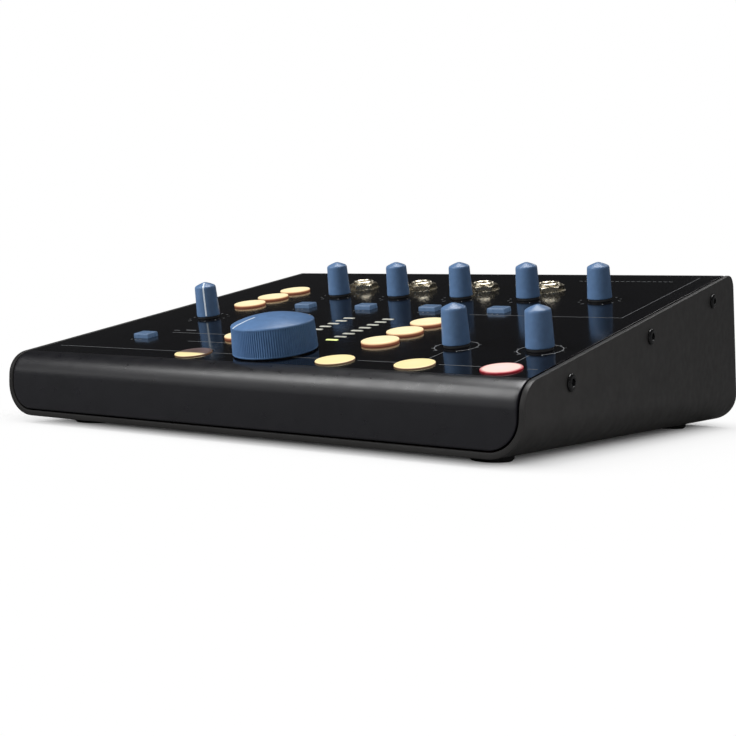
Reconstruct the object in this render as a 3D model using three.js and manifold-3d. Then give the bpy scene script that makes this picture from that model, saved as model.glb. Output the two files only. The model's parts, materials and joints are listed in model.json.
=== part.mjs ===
// A desktop studio monitor controller: a sheet-metal wedge with a sloping deck of knobs, buttons and jacks.
// Millimetres, +Z up. X runs along the front edge and Y from the front to the rear. The origin is on the
// surface that the feet stand on, below the middle of the whole controller with its rear sockets.
// Pieces on the deck are placed by x, by s up the slope from the front corner, and by h square to the slope.

import * as THREE from 'three';
import { mergeVertices } from 'three/addons/utils/BufferGeometryUtils.js';
import Module from 'manifold-3d';

const wasm = await Module();
wasm.setup();

// Case
const CASE_WIDTH = 216;
const DECK_LENGTH = 187;
const DECK_TILT_DEGREES = 12;
const FRONT_HEIGHT = 22;
const TRAY_SHEET = 2;
const TRAY_BEND = 12;
const COVER_SHEET = 2;
const FRONT_ROUND = 9;
const REAR_ROUND = 6;
const REAR_LIP = 8;
const REAR_SHEET = 2;
const SEAM = 0.5;

// General clearances
const FIT = 0.3;
const OVERRUN = 4;

// Glossy deck overlay, let into the cover
const OVERLAY_THICKNESS = 1;
const OVERLAY_LAND = 0.6;

// Side flanges of the cover and the screws through the cheeks
const FLANGE_START = 20;
const FLANGE_REAR_INSET = 17;
const FLANGE_DEPTH = 10;
const SCREW_FIRST = 29;
const SCREW_REAR_INSET = 27;
const SCREWS_PER_SIDE = 3;
const SCREW_DROP = 6.4;
const SCREW_SHANK_RADIUS = 1.5;
const SCREW_LENGTH = 6;
const SCREW_HEAD_RADIUS = 2.8;
const SCREW_HEAD_HEIGHT = 1.2;
const SCREW_SOCKET_RADIUS = 1.2;
const SCREW_SOCKET_DEPTH = 0.8;

// Feet
const FOOT_HEIGHT = 3;
const FOOT_RADIUS = 7;
const FOOT_CHAMFER = 0.8;
const FOOT_INSET = 22;

// Deck columns, inset from the left or right edge of the case
const OUTER_COLUMN_INSET = 33.8;
const LEVEL_COLUMN_INSET = 16.2;
const COLUMNS_PER_HALF = 3;
const REAR_ROW_LEFT_INSET = 63.6;
const REAR_ROW_RIGHT_INSET = 31.6;
const REAR_KNOBS = 5;
const PHONE_JACKS = 4;

// Deck rows, measured up the slope from the front corner
const TALK_ROW = 16.2;
const MAIN_KNOB_ROW = 24;
const MODE_SWITCH_ROW = 37.6;
const LEVEL_ROW = 42.4;
const SELECT_ROW = 43;
const SELECT_PITCH = 15.9;
const SELECT_BUTTONS = 3;

// Deck rows, measured down the slope from the rear edge
const PHONE_JACK_INSET = 43.6;
const CUE_INSET = 54.8;
const REAR_KNOB_INSET = 62.2;

// Deck rows between two others, as shares of the way from the front one to the rear one
const AUX_ROW_SHARE = 0.58;
const PHONE_SWITCH_ROW_SHARE = 0.512;

// Small knobs with their spindles
const KNOB_BASE_RADIUS = 4.7;
const KNOB_TOP_RADIUS = 4.25;
const KNOB_SHOULDER = 11.6;
const KNOB_HEIGHT = 14.7;
const KNOB_LIFT = 1;
const SPINDLE_RADIUS = 3;
const SPINDLE_DEPTH = 9.7;
const KNOB_TIP_SHARES = [[1, 0], [0.82, 0.3], [0.4, 0.74], [0, 1]];

// Main knob
const MAIN_BASE_RADIUS = 14.7;
const MAIN_TOP_RADIUS = 14.3;
const MAIN_RIM = 10.7;
const MAIN_HEIGHT = 14.4;
const MAIN_CROWN_SHARES = [[1, 0], [0.6, 0.48], [0.25, 0.86], [0, 1]];
const MAIN_EDGE = 0.5;
const MAIN_WALL = 2;
const MAIN_ROOF = 3;
const MAIN_HUB_WALL = 2;
const MAIN_HUB_LIFT = 1.6;
const MAIN_SPINDLE_TOP = 6.2;

// Round lit buttons
const BUTTON_RADIUS = 6.6;
const BUTTON_PROUD = 1.2;
const TALK_BUTTON_PROUD = 0.7;
const BUTTON_EDGE = 0.5;
const BUTTON_CROWN = 0.25;
const BUTTON_RIM = 1;
const BUTTON_RIM_THICKNESS = 1.4;
const BUTTON_STEM_RADIUS = 2;
const BUTTON_TRAVEL = 1;

// Rectangular push switches
const SWITCH_WIDTH = 7.6;
const SWITCH_LENGTH = 5.6;
const SWITCH_PROUD = 2.6;
const SWITCH_TRAVEL = 1.5;
const SWITCH_RIM = 1;
const SWITCH_STEM = 3;

// Level meter: two columns of light bars on one carrier
const METER_ROW = 44.6;
const METER_REAR_GAP = 19.4;
const METER_BARS = 8;
const METER_SPREAD = 9;
const BAR_WIDTH = 5;
const BAR_LENGTH = 1.5;
const METER_CARRIER = 2.4;
const METER_MARGIN = 2;

// Jack sockets, on the deck and at the rear
const JACK_BORE_RADIUS = 3.4;
const JACK_BUSHING_RADIUS = 4.5;
const JACK_NUT_FLATS = 11;
const JACK_NUT_THICKNESS = 2;
const JACK_PROUD = 3.4;
const JACK_MOUTH = 0.5;
const JACK_BODY = 12.4;
const JACK_DEPTH = 24;
const JACK_FLOOR = 2.5;

// Control board under the deck
const BOARD_DROP = 14;
const BOARD_THICKNESS = 1.6;
const BOARD_START = 9;
const BOARD_REAR_INSET = 34;
const BOARD_MARGIN = 1;
const POT_SIZE = 9.6;
const POT_HEIGHT = 9;
const TACT_SIZE = 6;
const TACT_HEIGHT = 2.8;
const LATCH_SIZE = 7;
const POST_RADIUS = 2.4;
const POST_INSET = 9;
const FRONT_POST_ROW = 62;
const REAR_POST_INSET = 5;

// Input and output board at the rear, with its sockets
const IO_BOARD_LIFT = 3.45;
const IO_BOARD_DEPTH = 36;
const SOCKET_LEFT_INSET = 46;
const SOCKET_RIGHT_INSET = 26;
const REAR_JACKS = 5;
const REAR_JACK_WIDTH = 16;
const REAR_JACK_LIFT = 8.5;
const REAR_JACK_STACK = 18;
const REAR_JACK_RISE = 8;
const PHONO_RADIUS = 4.15;
const PHONO_PROUD = 8.5;
const PHONO_PIN_BORE = 1.7;
const PHONO_BODY_DEPTH = 10;
const PHONO_WIDTH = 13;
const INLET_WIDTH = 11;
const INLET_HEIGHT = 12;
const INLET_DEPTH = 13;
const INLET_BORE_RADIUS = 3;
const INLET_PIN_RADIUS = 1;
const INLET_BORE_DEPTH = 9.5;
const INLET_FACE = 0.4;

// Ribbon cable between the two boards
const RIBBON_INSET = 42;
const RIBBON_WIDTH = 20;
const RIBBON_THICKNESS = 1;
const RIBBON_BOARD_INSET = 27;
const RIBBON_REACH = 12;
const RIBBON_STEPS = 10;
const HEADER_HEIGHT = 5;
const HEADER_DEPTH = 5;
const HEADER_MARGIN = 2;

// Facets
const ARC_STEPS = 4;
const KNOB_SIDES = 16;
const MAIN_KNOB_SIDES = 32;
const BUTTON_SIDES = 16;
const JACK_SIDES = 12;
const BORE_SIDES = 12;
const SMALL_SIDES = 10;
const HEX_SIDES = 6;

// Derived places of the case
const tilt = THREE.MathUtils.degToRad(DECK_TILT_DEGREES);
const halfWidth = CASE_WIDTH / 2;
const rearTopHeight = FRONT_HEIGHT + DECK_LENGTH * Math.sin(tilt);
const caseDepth = DECK_LENGTH * Math.cos(tilt) + rearTopHeight * Math.tan(tilt);
const deckZ = FOOT_HEIGHT + FRONT_HEIGHT;
const caseTopZ = FOOT_HEIGHT + rearTopHeight;
const innerInset = TRAY_SHEET + SEAM;
const coverHalfWidth = halfWidth - innerInset;
const shellBottomZ = FOOT_HEIGHT + innerInset;
const overlayRecess = OVERLAY_THICKNESS + FIT;
const coverDrop = overlayRecess + COVER_SHEET;
const roundTangent = FRONT_ROUND * (1 - Math.sin(tilt)) / Math.cos(tilt);
const recessStart = roundTangent + OVERLAY_LAND;
const recessEnd = DECK_LENGTH - REAR_ROUND - OVERLAY_LAND;
const flangeInner = coverHalfWidth - COVER_SHEET;
const flangeEnd = DECK_LENGTH - FLANGE_REAR_INSET;

// Derived columns and rows of the deck
const outerColumn = -halfWidth + OUTER_COLUMN_INSET;
const levelColumn = halfWidth - LEVEL_COLUMN_INSET;
const columnPitch = levelColumn / COLUMNS_PER_HALF;
const rearKnobRow = DECK_LENGTH - REAR_KNOB_INSET;
const phoneJackRow = DECK_LENGTH - PHONE_JACK_INSET;
const lastSelectRow = SELECT_ROW + (SELECT_BUTTONS - 1) * SELECT_PITCH;
const phoneSwitchRow = THREE.MathUtils.lerp(lastSelectRow, rearKnobRow, PHONE_SWITCH_ROW_SHARE);
const cueRow = DECK_LENGTH - CUE_INSET - (SELECT_BUTTONS - 1) * SELECT_PITCH;
const auxKnobRow = THREE.MathUtils.lerp(MODE_SWITCH_ROW, cueRow, AUX_ROW_SHARE);
const meterLength = phoneSwitchRow - METER_REAR_GAP - METER_ROW;

// Derived places of the boards and the rear sockets
const boardTop = -BOARD_DROP;
const boardUnderside = boardTop - BOARD_THICKNESS;
const boardHalfWidth = flangeInner - BOARD_MARGIN;
const potTop = boardTop + POT_HEIGHT;
const rearSheetInner = DECK_LENGTH - REAR_SHEET;
const socketFace = rearSheetInner - FIT;
const boardEnd = DECK_LENGTH - BOARD_REAR_INSET;
const ribbonTopRow = boardEnd - RIBBON_BOARD_INSET;
const ribbonPlace = halfWidth - RIBBON_INSET;
const ioBoardStart = socketFace - IO_BOARD_DEPTH;
const ioBoardUnderside = depthAt(ioBoardStart, FOOT_HEIGHT + TRAY_SHEET) + IO_BOARD_LIFT;
const ioBoardTop = ioBoardUnderside + BOARD_THICKNESS;
const ioBoardHalfWidth = halfWidth - TRAY_BEND - BOARD_MARGIN;
const phonoPlace = -halfWidth + SOCKET_LEFT_INSET;
const inletPlace = halfWidth - SOCKET_RIGHT_INSET;
const socketPitch = (inletPlace - phonoPlace) / (REAR_JACKS + 1);
const lowerSocket = ioBoardTop + REAR_JACK_LIFT;
const upperSocket = lowerSocket + REAR_JACK_STACK;
const socketHeights = [upperSocket, lowerSocket];

// Derived places from front to rear, with the rear sockets in the whole depth
const wholeDepth = (DECK_LENGTH + PHONO_PROUD) * Math.cos(tilt)
  + (PHONO_RADIUS - lowerSocket) * Math.sin(tilt);
const frontY = -wholeDepth / 2;
const rearY = frontY + caseDepth;

const deckMatrix = new THREE.Matrix4()
  .makeTranslation(0, frontY, deckZ)
  .multiply(new THREE.Matrix4().makeRotationX(tilt));

const materials = {
  tray: new THREE.MeshStandardMaterial({ color: 0x2c2b2b, roughness: 0.55, metalness: 0.3 }),
  cover: new THREE.MeshStandardMaterial({ color: 0x1c1c20, roughness: 0.45, metalness: 0.3 }),
  overlay: new THREE.MeshStandardMaterial({ color: 0x101014, roughness: 0.08, metalness: 0 }),
  knob: new THREE.MeshStandardMaterial({ color: 0x41618c, roughness: 0.4, metalness: 0.1 }),
  amber: new THREE.MeshStandardMaterial({ color: 0xffe2a0, roughness: 0.35, metalness: 0 }),
  red: new THREE.MeshStandardMaterial({ color: 0xf2a0a4, roughness: 0.35, metalness: 0 }),
  meter: new THREE.MeshStandardMaterial({ color: 0xb8c46a, roughness: 0.3, metalness: 0 }),
  steel: new THREE.MeshStandardMaterial({ color: 0xb9b3a4, roughness: 0.3, metalness: 0.9 }),
  screw: new THREE.MeshStandardMaterial({ color: 0x121212, roughness: 0.4, metalness: 0.6 }),
  rubber: new THREE.MeshStandardMaterial({ color: 0x151515, roughness: 0.9, metalness: 0 }),
  plastic: new THREE.MeshStandardMaterial({ color: 0x1a1a1a, roughness: 0.6, metalness: 0 }),
  board: new THREE.MeshStandardMaterial({ color: 0x1d4a2c, roughness: 0.6, metalness: 0 }),
  ribbon: new THREE.MeshStandardMaterial({ color: 0x8a8d92, roughness: 0.7, metalness: 0 }),
};

// Turns a three.js geometry into a solid that can be cut and joined.
function solidOf(geometry) {
  const bare = geometry.clone();
  bare.deleteAttribute('normal');
  bare.deleteAttribute('uv');
  const merged = mergeVertices(bare);
  const corners = merged.index.array;
  const kept = [];
  for (let i = 0; i < corners.length; i += 3) {
    const [a, b, c] = [corners[i], corners[i + 1], corners[i + 2]];
    if (a !== b && b !== c && c !== a) kept.push(a, b, c);
  }
  return new wasm.Manifold(new wasm.Mesh({
    numProp: 3,
    vertProperties: new Float32Array(merged.attributes.position.array),
    triVerts: new Uint32Array(kept),
  }));
}

// Turns a solid back into a three.js geometry.
function geometryOf(solid) {
  const mesh = solid.getMesh();
  const geometry = new THREE.BufferGeometry();
  geometry.setAttribute('position', new THREE.BufferAttribute(mesh.vertProperties, mesh.numProp));
  geometry.setIndex(new THREE.BufferAttribute(mesh.triVerts, 1));
  geometry.computeVertexNormals();
  return geometry;
}

function joined(solids) {
  return solids.reduce((whole, solid) => whole.add(solid));
}

// Place on the slope as a point of the side view.
function deckPoint(s, h) {
  return [
    frontY + s * Math.cos(tilt) - h * Math.sin(tilt),
    deckZ + s * Math.sin(tilt) + h * Math.cos(tilt),
  ];
}

// Depth below the deck, at place s, of a level plane at height z.
function depthAt(s, z) {
  return (z - deckZ - s * Math.sin(tilt)) / Math.cos(tilt);
}

// Extrudes a side view, drawn in Y and Z, from x0 to x1.
function acrossWidth(shape, x0, x1) {
  const geometry = new THREE.ExtrudeGeometry(shape, {
    depth: x1 - x0, bevelEnabled: false, curveSegments: ARC_STEPS,
  });
  geometry.translate(0, 0, x0);
  geometry.applyMatrix4(new THREE.Matrix4().makeBasis(
    new THREE.Vector3(0, 1, 0), new THREE.Vector3(0, 0, 1), new THREE.Vector3(1, 0, 0)));
  return solidOf(geometry);
}

// A block from low to high corner.
function block(low, high) {
  const size = high.map((value, i) => value - low[i]);
  const geometry = new THREE.BoxGeometry(...size);
  geometry.translate(...low.map((value, i) => value + size[i] / 2));
  return solidOf(geometry);
}

// A block centred on x and s, from depth h0 to h1.
function pad(x, s, width, length, h0, h1) {
  return block([x - width / 2, s - length / 2, h0], [x + width / 2, s + length / 2, h1]);
}

// An upright cylinder at x and s, from h0 to h1.
function upright(radius, x, s, h0, h1, sides) {
  const geometry = new THREE.CylinderGeometry(radius, radius, h1 - h0, sides);
  geometry.rotateX(Math.PI / 2);
  geometry.translate(x, s, (h0 + h1) / 2);
  return solidOf(geometry);
}

// A cylinder along s, at x and h.
function lengthwise(radius, x, h, s0, s1, sides) {
  const geometry = new THREE.CylinderGeometry(radius, radius, s1 - s0, sides);
  geometry.translate(x, (s0 + s1) / 2, h);
  return solidOf(geometry);
}

// Turns a profile of radius and height pairs, from the top of the axis to its foot, about the Z axis.
function turned(profile, sides) {
  const points = profile.map(([radius, height]) => new THREE.Vector2(radius, height)).reverse();
  const geometry = new THREE.LatheGeometry(points, sides);
  geometry.rotateX(Math.PI / 2);
  return geometryOf(solidOf(geometry));
}

// The trough that the tray's sheet wraps: level bottom, rounded lower corners, open height.
function trough(inset, reach) {
  const side = halfWidth - inset;
  const bottom = FOOT_HEIGHT + inset;
  const bend = TRAY_BEND - inset;
  const top = caseTopZ + reach;
  const shape = new THREE.Shape();
  shape.moveTo(side, top);
  shape.lineTo(-side, top);
  shape.absarc(-side + bend, bottom + bend, bend, Math.PI, 1.5 * Math.PI, false);
  shape.absarc(side - bend, bottom + bend, bend, 1.5 * Math.PI, 2 * Math.PI, false);
  const length = caseDepth + 2 * reach;
  const geometry = new THREE.ExtrudeGeometry(shape, {
    depth: length, bevelEnabled: false, curveSegments: ARC_STEPS,
  });
  geometry.rotateX(Math.PI / 2);
  geometry.translate(0, rearY + reach, 0);
  return solidOf(geometry);
}

// Adds the front or rear rounding of the deck to a side view.
function frontArc(shape, radius, wall, drop, clockwise) {
  const s = (wall + radius - (drop + radius) * Math.sin(tilt)) / Math.cos(tilt);
  const [y, z] = deckPoint(s, -drop - radius);
  const ends = [Math.PI, Math.PI / 2 + tilt];
  const [from, to] = clockwise ? ends : ends.reverse();
  shape.absarc(y, z, radius, from, to, clockwise);
}

function rearArc(shape) {
  const [y, z] = deckPoint(DECK_LENGTH - REAR_ROUND, -REAR_ROUND);
  shape.absarc(y, z, REAR_ROUND, Math.PI / 2 + tilt, tilt, true);
}

// Places of copies, evenly spread from the first to the last.
function spread(first, last, count) {
  return Array.from({ length: count }, (_, i) => first + (last - first) * i / (count - 1));
}

// Places of the repeated controls
const rearRow = spread(-halfWidth + REAR_ROW_LEFT_INSET, halfWidth - REAR_ROW_RIGHT_INSET, REAR_KNOBS);
const selectRows = Array.from({ length: SELECT_BUTTONS }, (_, i) => i * SELECT_PITCH);
const screwRows = spread(SCREW_FIRST, DECK_LENGTH - SCREW_REAR_INSET, SCREWS_PER_SIDE);
const rearJackPlaces = spread(phonoPlace + socketPitch, inletPlace - socketPitch, REAR_JACKS);
const meterRows = spread(METER_ROW, METER_ROW + meterLength, METER_BARS);

const smallKnobs = [
  { name: 'aux_level_knob', x: outerColumn, s: auxKnobRow },
  { name: 'talkback_level_knob', x: levelColumn - columnPitch, s: LEVEL_ROW },
  { name: 'dim_level_knob', x: levelColumn, s: LEVEL_ROW },
  ...rearRow.map((x, i) => ({
    name: i < PHONE_JACKS ? `phones_${i + 1}_knob` : 'cue_level_knob', x, s: rearKnobRow,
  })),
];

const talkButtons = [
  ['mono_button', -columnPitch, 'amber'],
  ['dim_button', columnPitch, 'amber'],
  ['talkback_button', levelColumn - columnPitch, 'amber'],
  ['mute_button', levelColumn, 'red'],
];
const selectColumns = [
  ['source', -columnPitch, SELECT_ROW],
  ['speaker', columnPitch, SELECT_ROW],
  ['cue', outerColumn, cueRow],
];
const buttons = [
  ...talkButtons.map(([name, x, finish]) => ({ name, x, s: TALK_ROW, proud: TALK_BUTTON_PROUD, finish })),
  ...selectColumns.flatMap(([kind, x, first]) => selectRows.map((row, i) => ({
    name: `${kind}_button_${i + 1}`, x, s: first + row, proud: BUTTON_PROUD, finish: 'amber',
  }))),
];

const switches = [
  { name: 'mode_switch_cap', x: outerColumn, s: MODE_SWITCH_ROW },
  ...rearRow.slice(0, PHONE_JACKS).map((x, i) => ({
    name: `phones_${i + 1}_switch_cap`, x, s: phoneSwitchRow,
  })),
];

const phoneJacks = rearRow.slice(0, PHONE_JACKS).map((x, i) => ({ name: `phones_${i + 1}_jack`, x }));

const model = new THREE.Group();
const deck = new THREE.Group();
deck.position.set(0, frontY, deckZ);
deck.rotation.x = tilt;
model.add(deck);

function place(parent, name, geometry, material, x = 0, y = 0, z = 0) {
  const mesh = new THREE.Mesh(geometry, material);
  mesh.name = name;
  mesh.position.set(x, y, z);
  parent.add(mesh);
  return mesh;
}

// The cutters for everything that comes up through the deck, in deck places.
function deckCutters() {
  const floor = -coverDrop - OVERRUN;
  const cutters = [
    upright(SPINDLE_RADIUS + FIT, 0, MAIN_KNOB_ROW, floor, OVERRUN, BORE_SIDES),
    ...smallKnobs.map(({ x, s }) => upright(SPINDLE_RADIUS + FIT, x, s, floor, OVERRUN, BORE_SIDES)),
    ...buttons.map(({ x, s }) => upright(BUTTON_RADIUS + FIT, x, s, floor, OVERRUN, BUTTON_SIDES)),
    ...switches.map(({ x, s }) => pad(
      x, s, SWITCH_WIDTH + 2 * FIT, SWITCH_LENGTH + 2 * FIT, floor, OVERRUN)),
    ...phoneJacks.map(({ x }) => upright(
      JACK_BUSHING_RADIUS + FIT, x, phoneJackRow, floor, OVERRUN, JACK_SIDES)),
  ];
  return joined(cutters);
}

// The window of the level meter in the cover, and its slots in the overlay, in deck places.
function meterWindow() {
  const width = 2 * METER_SPREAD + BAR_WIDTH + 2 * FIT;
  const length = meterLength + BAR_LENGTH + 2 * FIT;
  return pad(0, METER_ROW + meterLength / 2, width, length, -coverDrop - OVERRUN, OVERRUN);
}

function meterSlots() {
  return joined(meterRows.flatMap((s) => [-METER_SPREAD, METER_SPREAD].map(
    (x) => pad(x, s, BAR_WIDTH + 2 * FIT, BAR_LENGTH + 2 * FIT, -coverDrop, OVERRUN))));
}

// Sideways holes for the cheek screws, in deck places.
function screwCutters() {
  return joined(screwRows.map((s) => {
    const geometry = new THREE.CylinderGeometry(
      SCREW_SHANK_RADIUS + FIT, SCREW_SHANK_RADIUS + FIT, CASE_WIDTH + 2 * OVERRUN, SMALL_SIDES);
    geometry.rotateZ(Math.PI / 2);
    geometry.translate(0, s, -SCREW_DROP);
    return solidOf(geometry);
  }));
}

const throughDeck = deckCutters();
const throughCheeks = screwCutters();

// Tray: bottom and both cheeks of one folded sheet
function makeTray() {
  const side = new THREE.Shape();
  side.moveTo(rearY, FOOT_HEIGHT);
  side.lineTo(frontY, FOOT_HEIGHT);
  frontArc(side, FRONT_ROUND, 0, 0, true);
  rearArc(side);
  const wedge = acrossWidth(side, -halfWidth - OVERRUN, halfWidth + OVERRUN);
  const folded = trough(0, OVERRUN).subtract(trough(TRAY_SHEET, 2 * OVERRUN));
  const tray = folded.intersect(wedge).subtract(throughCheeks.transform(deckMatrix.elements));
  place(model, 'chassis_tray', geometryOf(tray), materials.tray);
}

// Cover: front face, front rounding, deck sheet, rear rounding and lip, with a flange along each side
function makeCover() {
  const sheet = new THREE.Shape();
  sheet.moveTo(frontY + COVER_SHEET, shellBottomZ);
  sheet.lineTo(frontY, shellBottomZ);
  frontArc(sheet, FRONT_ROUND, 0, 0, true);
  sheet.lineTo(...deckPoint(recessStart, 0));
  sheet.lineTo(...deckPoint(recessStart, -overlayRecess));
  sheet.lineTo(...deckPoint(recessEnd, -overlayRecess));
  sheet.lineTo(...deckPoint(recessEnd, 0));
  rearArc(sheet);
  sheet.lineTo(...deckPoint(DECK_LENGTH, -REAR_LIP));
  sheet.lineTo(...deckPoint(DECK_LENGTH - COVER_SHEET, -REAR_LIP));
  sheet.lineTo(...deckPoint(DECK_LENGTH - COVER_SHEET, -coverDrop));
  frontArc(sheet, FRONT_ROUND - coverDrop, COVER_SHEET, coverDrop, false);

  const inside = [];
  for (const side of [-1, 1]) {
    const edges = [side * flangeInner, side * coverHalfWidth].sort((a, b) => a - b);
    const flangeFoot = -coverDrop - FLANGE_DEPTH;
    inside.push(block(
      [edges[0], FLANGE_START, flangeFoot], [edges[1], flangeEnd, -overlayRecess - COVER_SHEET / 2]));
    for (const row of [FRONT_POST_ROW, boardEnd - REAR_POST_INSET]) {
      const x = side * (boardHalfWidth - POST_INSET);
      const postTop = -overlayRecess - COVER_SHEET / 2;
      inside.push(upright(POST_RADIUS, x, row, boardTop + FIT, postTop, SMALL_SIDES));
    }
  }
  const skin = acrossWidth(sheet, -coverHalfWidth, coverHalfWidth).intersect(trough(innerInset, OVERRUN));
  const cover = skin
    .add(joined(inside).transform(deckMatrix.elements))
    .subtract(throughDeck.add(meterWindow()).transform(deckMatrix.elements))
    .subtract(throughCheeks.transform(deckMatrix.elements));
  place(model, 'top_cover', geometryOf(cover), materials.cover);
}

// Overlay: one glossy sheet in the cover's recess
function makeOverlay() {
  const sheet = block(
    [-coverHalfWidth, recessStart + FIT, -OVERLAY_THICKNESS], [coverHalfWidth, recessEnd - FIT, 0]);
  place(deck, 'deck_overlay', geometryOf(sheet.subtract(throughDeck.add(meterSlots()))), materials.overlay);
}

// Rear panel: a plate between the cheeks, under the cover's lip
function makeRearPanel() {
  const plate = new THREE.Shape();
  const top = -REAR_LIP - SEAM;
  plate.moveTo(...deckPoint(DECK_LENGTH, top));
  plate.lineTo(...deckPoint(rearSheetInner, top));
  plate.lineTo(...deckPoint(rearSheetInner, depthAt(rearSheetInner, shellBottomZ)));
  plate.lineTo(...deckPoint(DECK_LENGTH, depthAt(DECK_LENGTH, shellBottomZ)));
  const from = rearSheetInner - OVERRUN;
  const to = DECK_LENGTH + OVERRUN;
  const holes = [
    ...rearJackPlaces.flatMap((x) => socketHeights.map(
      (h) => lengthwise(JACK_BUSHING_RADIUS + FIT, x, h, from, to, JACK_SIDES))),
    ...socketHeights.map(
      (h) => lengthwise(PHONO_RADIUS + FIT, phonoPlace, h, from, to, BORE_SIDES)),
    block(
      [inletPlace - INLET_WIDTH / 2 - FIT, from, ioBoardTop],
      [inletPlace + INLET_WIDTH / 2 + FIT, to, ioBoardTop + INLET_HEIGHT + 2 * FIT]),
  ];
  const panel = acrossWidth(plate, -coverHalfWidth, coverHalfWidth)
    .intersect(trough(innerInset, OVERRUN))
    .subtract(joined(holes).transform(deckMatrix.elements));
  place(model, 'rear_panel', geometryOf(panel), materials.cover);
}

// Feet: four rubber discs under the corners
function makeFeet() {
  const profile = [
    [0, FOOT_HEIGHT],
    [FOOT_RADIUS, FOOT_HEIGHT],
    [FOOT_RADIUS, FOOT_CHAMFER],
    [FOOT_RADIUS - FOOT_CHAMFER, 0],
    [0, 0],
  ];
  for (const [end, y] of [['front', frontY + FOOT_INSET], ['rear', rearY - FOOT_INSET]]) {
    for (const [side, x] of [['left', -halfWidth + FOOT_INSET], ['right', halfWidth - FOOT_INSET]]) {
      place(model, `foot_${end}_${side}`, turned(profile, KNOB_SIDES), materials.rubber, x, y);
    }
  }
}

// Cheek screws: button heads outside, shanks through cheek and flange
function makeScrews() {
  const profile = [
    [0, SCREW_HEAD_HEIGHT - SCREW_SOCKET_DEPTH],
    [SCREW_SOCKET_RADIUS, SCREW_HEAD_HEIGHT - SCREW_SOCKET_DEPTH],
    [SCREW_SOCKET_RADIUS, SCREW_HEAD_HEIGHT],
    [(SCREW_HEAD_RADIUS + SCREW_SOCKET_RADIUS) / 2, SCREW_HEAD_HEIGHT],
    [SCREW_HEAD_RADIUS, SCREW_HEAD_HEIGHT / 2],
    [SCREW_HEAD_RADIUS, FIT],
    [SCREW_SHANK_RADIUS, FIT],
    [SCREW_SHANK_RADIUS, -SCREW_LENGTH],
    [0, -SCREW_LENGTH],
  ];
  for (const [side, x, turn] of [['left', -halfWidth, -Math.PI / 2], ['right', halfWidth, Math.PI / 2]]) {
    screwRows.forEach((s, i) => {
      const geometry = turned(profile, SMALL_SIDES);
      geometry.rotateY(turn);
      place(deck, `cheek_screw_${side}_${i + 1}`, geometry, materials.screw, x, s, -SCREW_DROP);
    });
  }
}

// Small knobs: a bullet-shaped cap on its round spindle
function makeSmallKnobs() {
  const profile = [
    ...KNOB_TIP_SHARES.map(([radiusShare, heightShare]) => [
      KNOB_TOP_RADIUS * radiusShare,
      KNOB_SHOULDER + (KNOB_HEIGHT - KNOB_SHOULDER) * heightShare,
    ]).reverse(),
    [KNOB_BASE_RADIUS, KNOB_LIFT],
    [SPINDLE_RADIUS, KNOB_LIFT],
    [SPINDLE_RADIUS, -SPINDLE_DEPTH],
    [0, -SPINDLE_DEPTH],
  ];
  for (const { name, x, s } of smallKnobs) {
    place(deck, name, turned(profile, KNOB_SIDES), materials.knob, x, s);
  }
}

// Main knob: a wide hollow cap with a low conical top and a hub that fits its spindle
function makeMainKnob() {
  const roof = MAIN_RIM - MAIN_ROOF;
  const bore = SPINDLE_RADIUS + FIT;
  const boreTop = MAIN_SPINDLE_TOP + FIT;
  const knob = [
    ...MAIN_CROWN_SHARES.map(([radiusShare, heightShare]) => [
      (MAIN_TOP_RADIUS - MAIN_EDGE) * radiusShare,
      MAIN_RIM + (MAIN_HEIGHT - MAIN_RIM) * heightShare,
    ]).reverse(),
    [MAIN_TOP_RADIUS, MAIN_RIM - MAIN_EDGE],
    [MAIN_BASE_RADIUS, KNOB_LIFT],
    [MAIN_BASE_RADIUS - MAIN_WALL, KNOB_LIFT],
    [MAIN_BASE_RADIUS - MAIN_WALL, roof],
    [bore + MAIN_HUB_WALL, roof],
    [bore + MAIN_HUB_WALL, MAIN_HUB_LIFT],
    [bore, MAIN_HUB_LIFT],
    [bore, boreTop],
    [0, boreTop],
  ];
  const spindle = [
    [0, MAIN_SPINDLE_TOP],
    [SPINDLE_RADIUS, MAIN_SPINDLE_TOP],
    [SPINDLE_RADIUS, -SPINDLE_DEPTH],
    [0, -SPINDLE_DEPTH],
  ];
  place(deck, 'main_level_knob', turned(knob, MAIN_KNOB_SIDES), materials.knob, 0, MAIN_KNOB_ROW);
  place(deck, 'main_level_spindle', turned(spindle, KNOB_SIDES), materials.steel, 0, MAIN_KNOB_ROW);
}

// Round buttons: a crowned cap, a rim that holds it under the cover, and a stem to its switch
function makeButtons() {
  const rimTop = -coverDrop - FIT;
  const stemFoot = boardTop + TACT_HEIGHT + BUTTON_TRAVEL + FIT;
  for (const { name, x, s, proud, finish } of buttons) {
    const profile = [
      [0, proud],
      [BUTTON_RADIUS - BUTTON_EDGE, proud - BUTTON_CROWN],
      [BUTTON_RADIUS, proud - BUTTON_CROWN - BUTTON_EDGE],
      [BUTTON_RADIUS, rimTop],
      [BUTTON_RADIUS + BUTTON_RIM, rimTop],
      [BUTTON_RADIUS + BUTTON_RIM, rimTop - BUTTON_RIM_THICKNESS],
      [BUTTON_STEM_RADIUS, rimTop - BUTTON_RIM_THICKNESS],
      [BUTTON_STEM_RADIUS, stemFoot],
      [0, stemFoot],
    ];
    place(deck, name, turned(profile, BUTTON_SIDES), materials[finish], x, s);
  }
}

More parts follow.
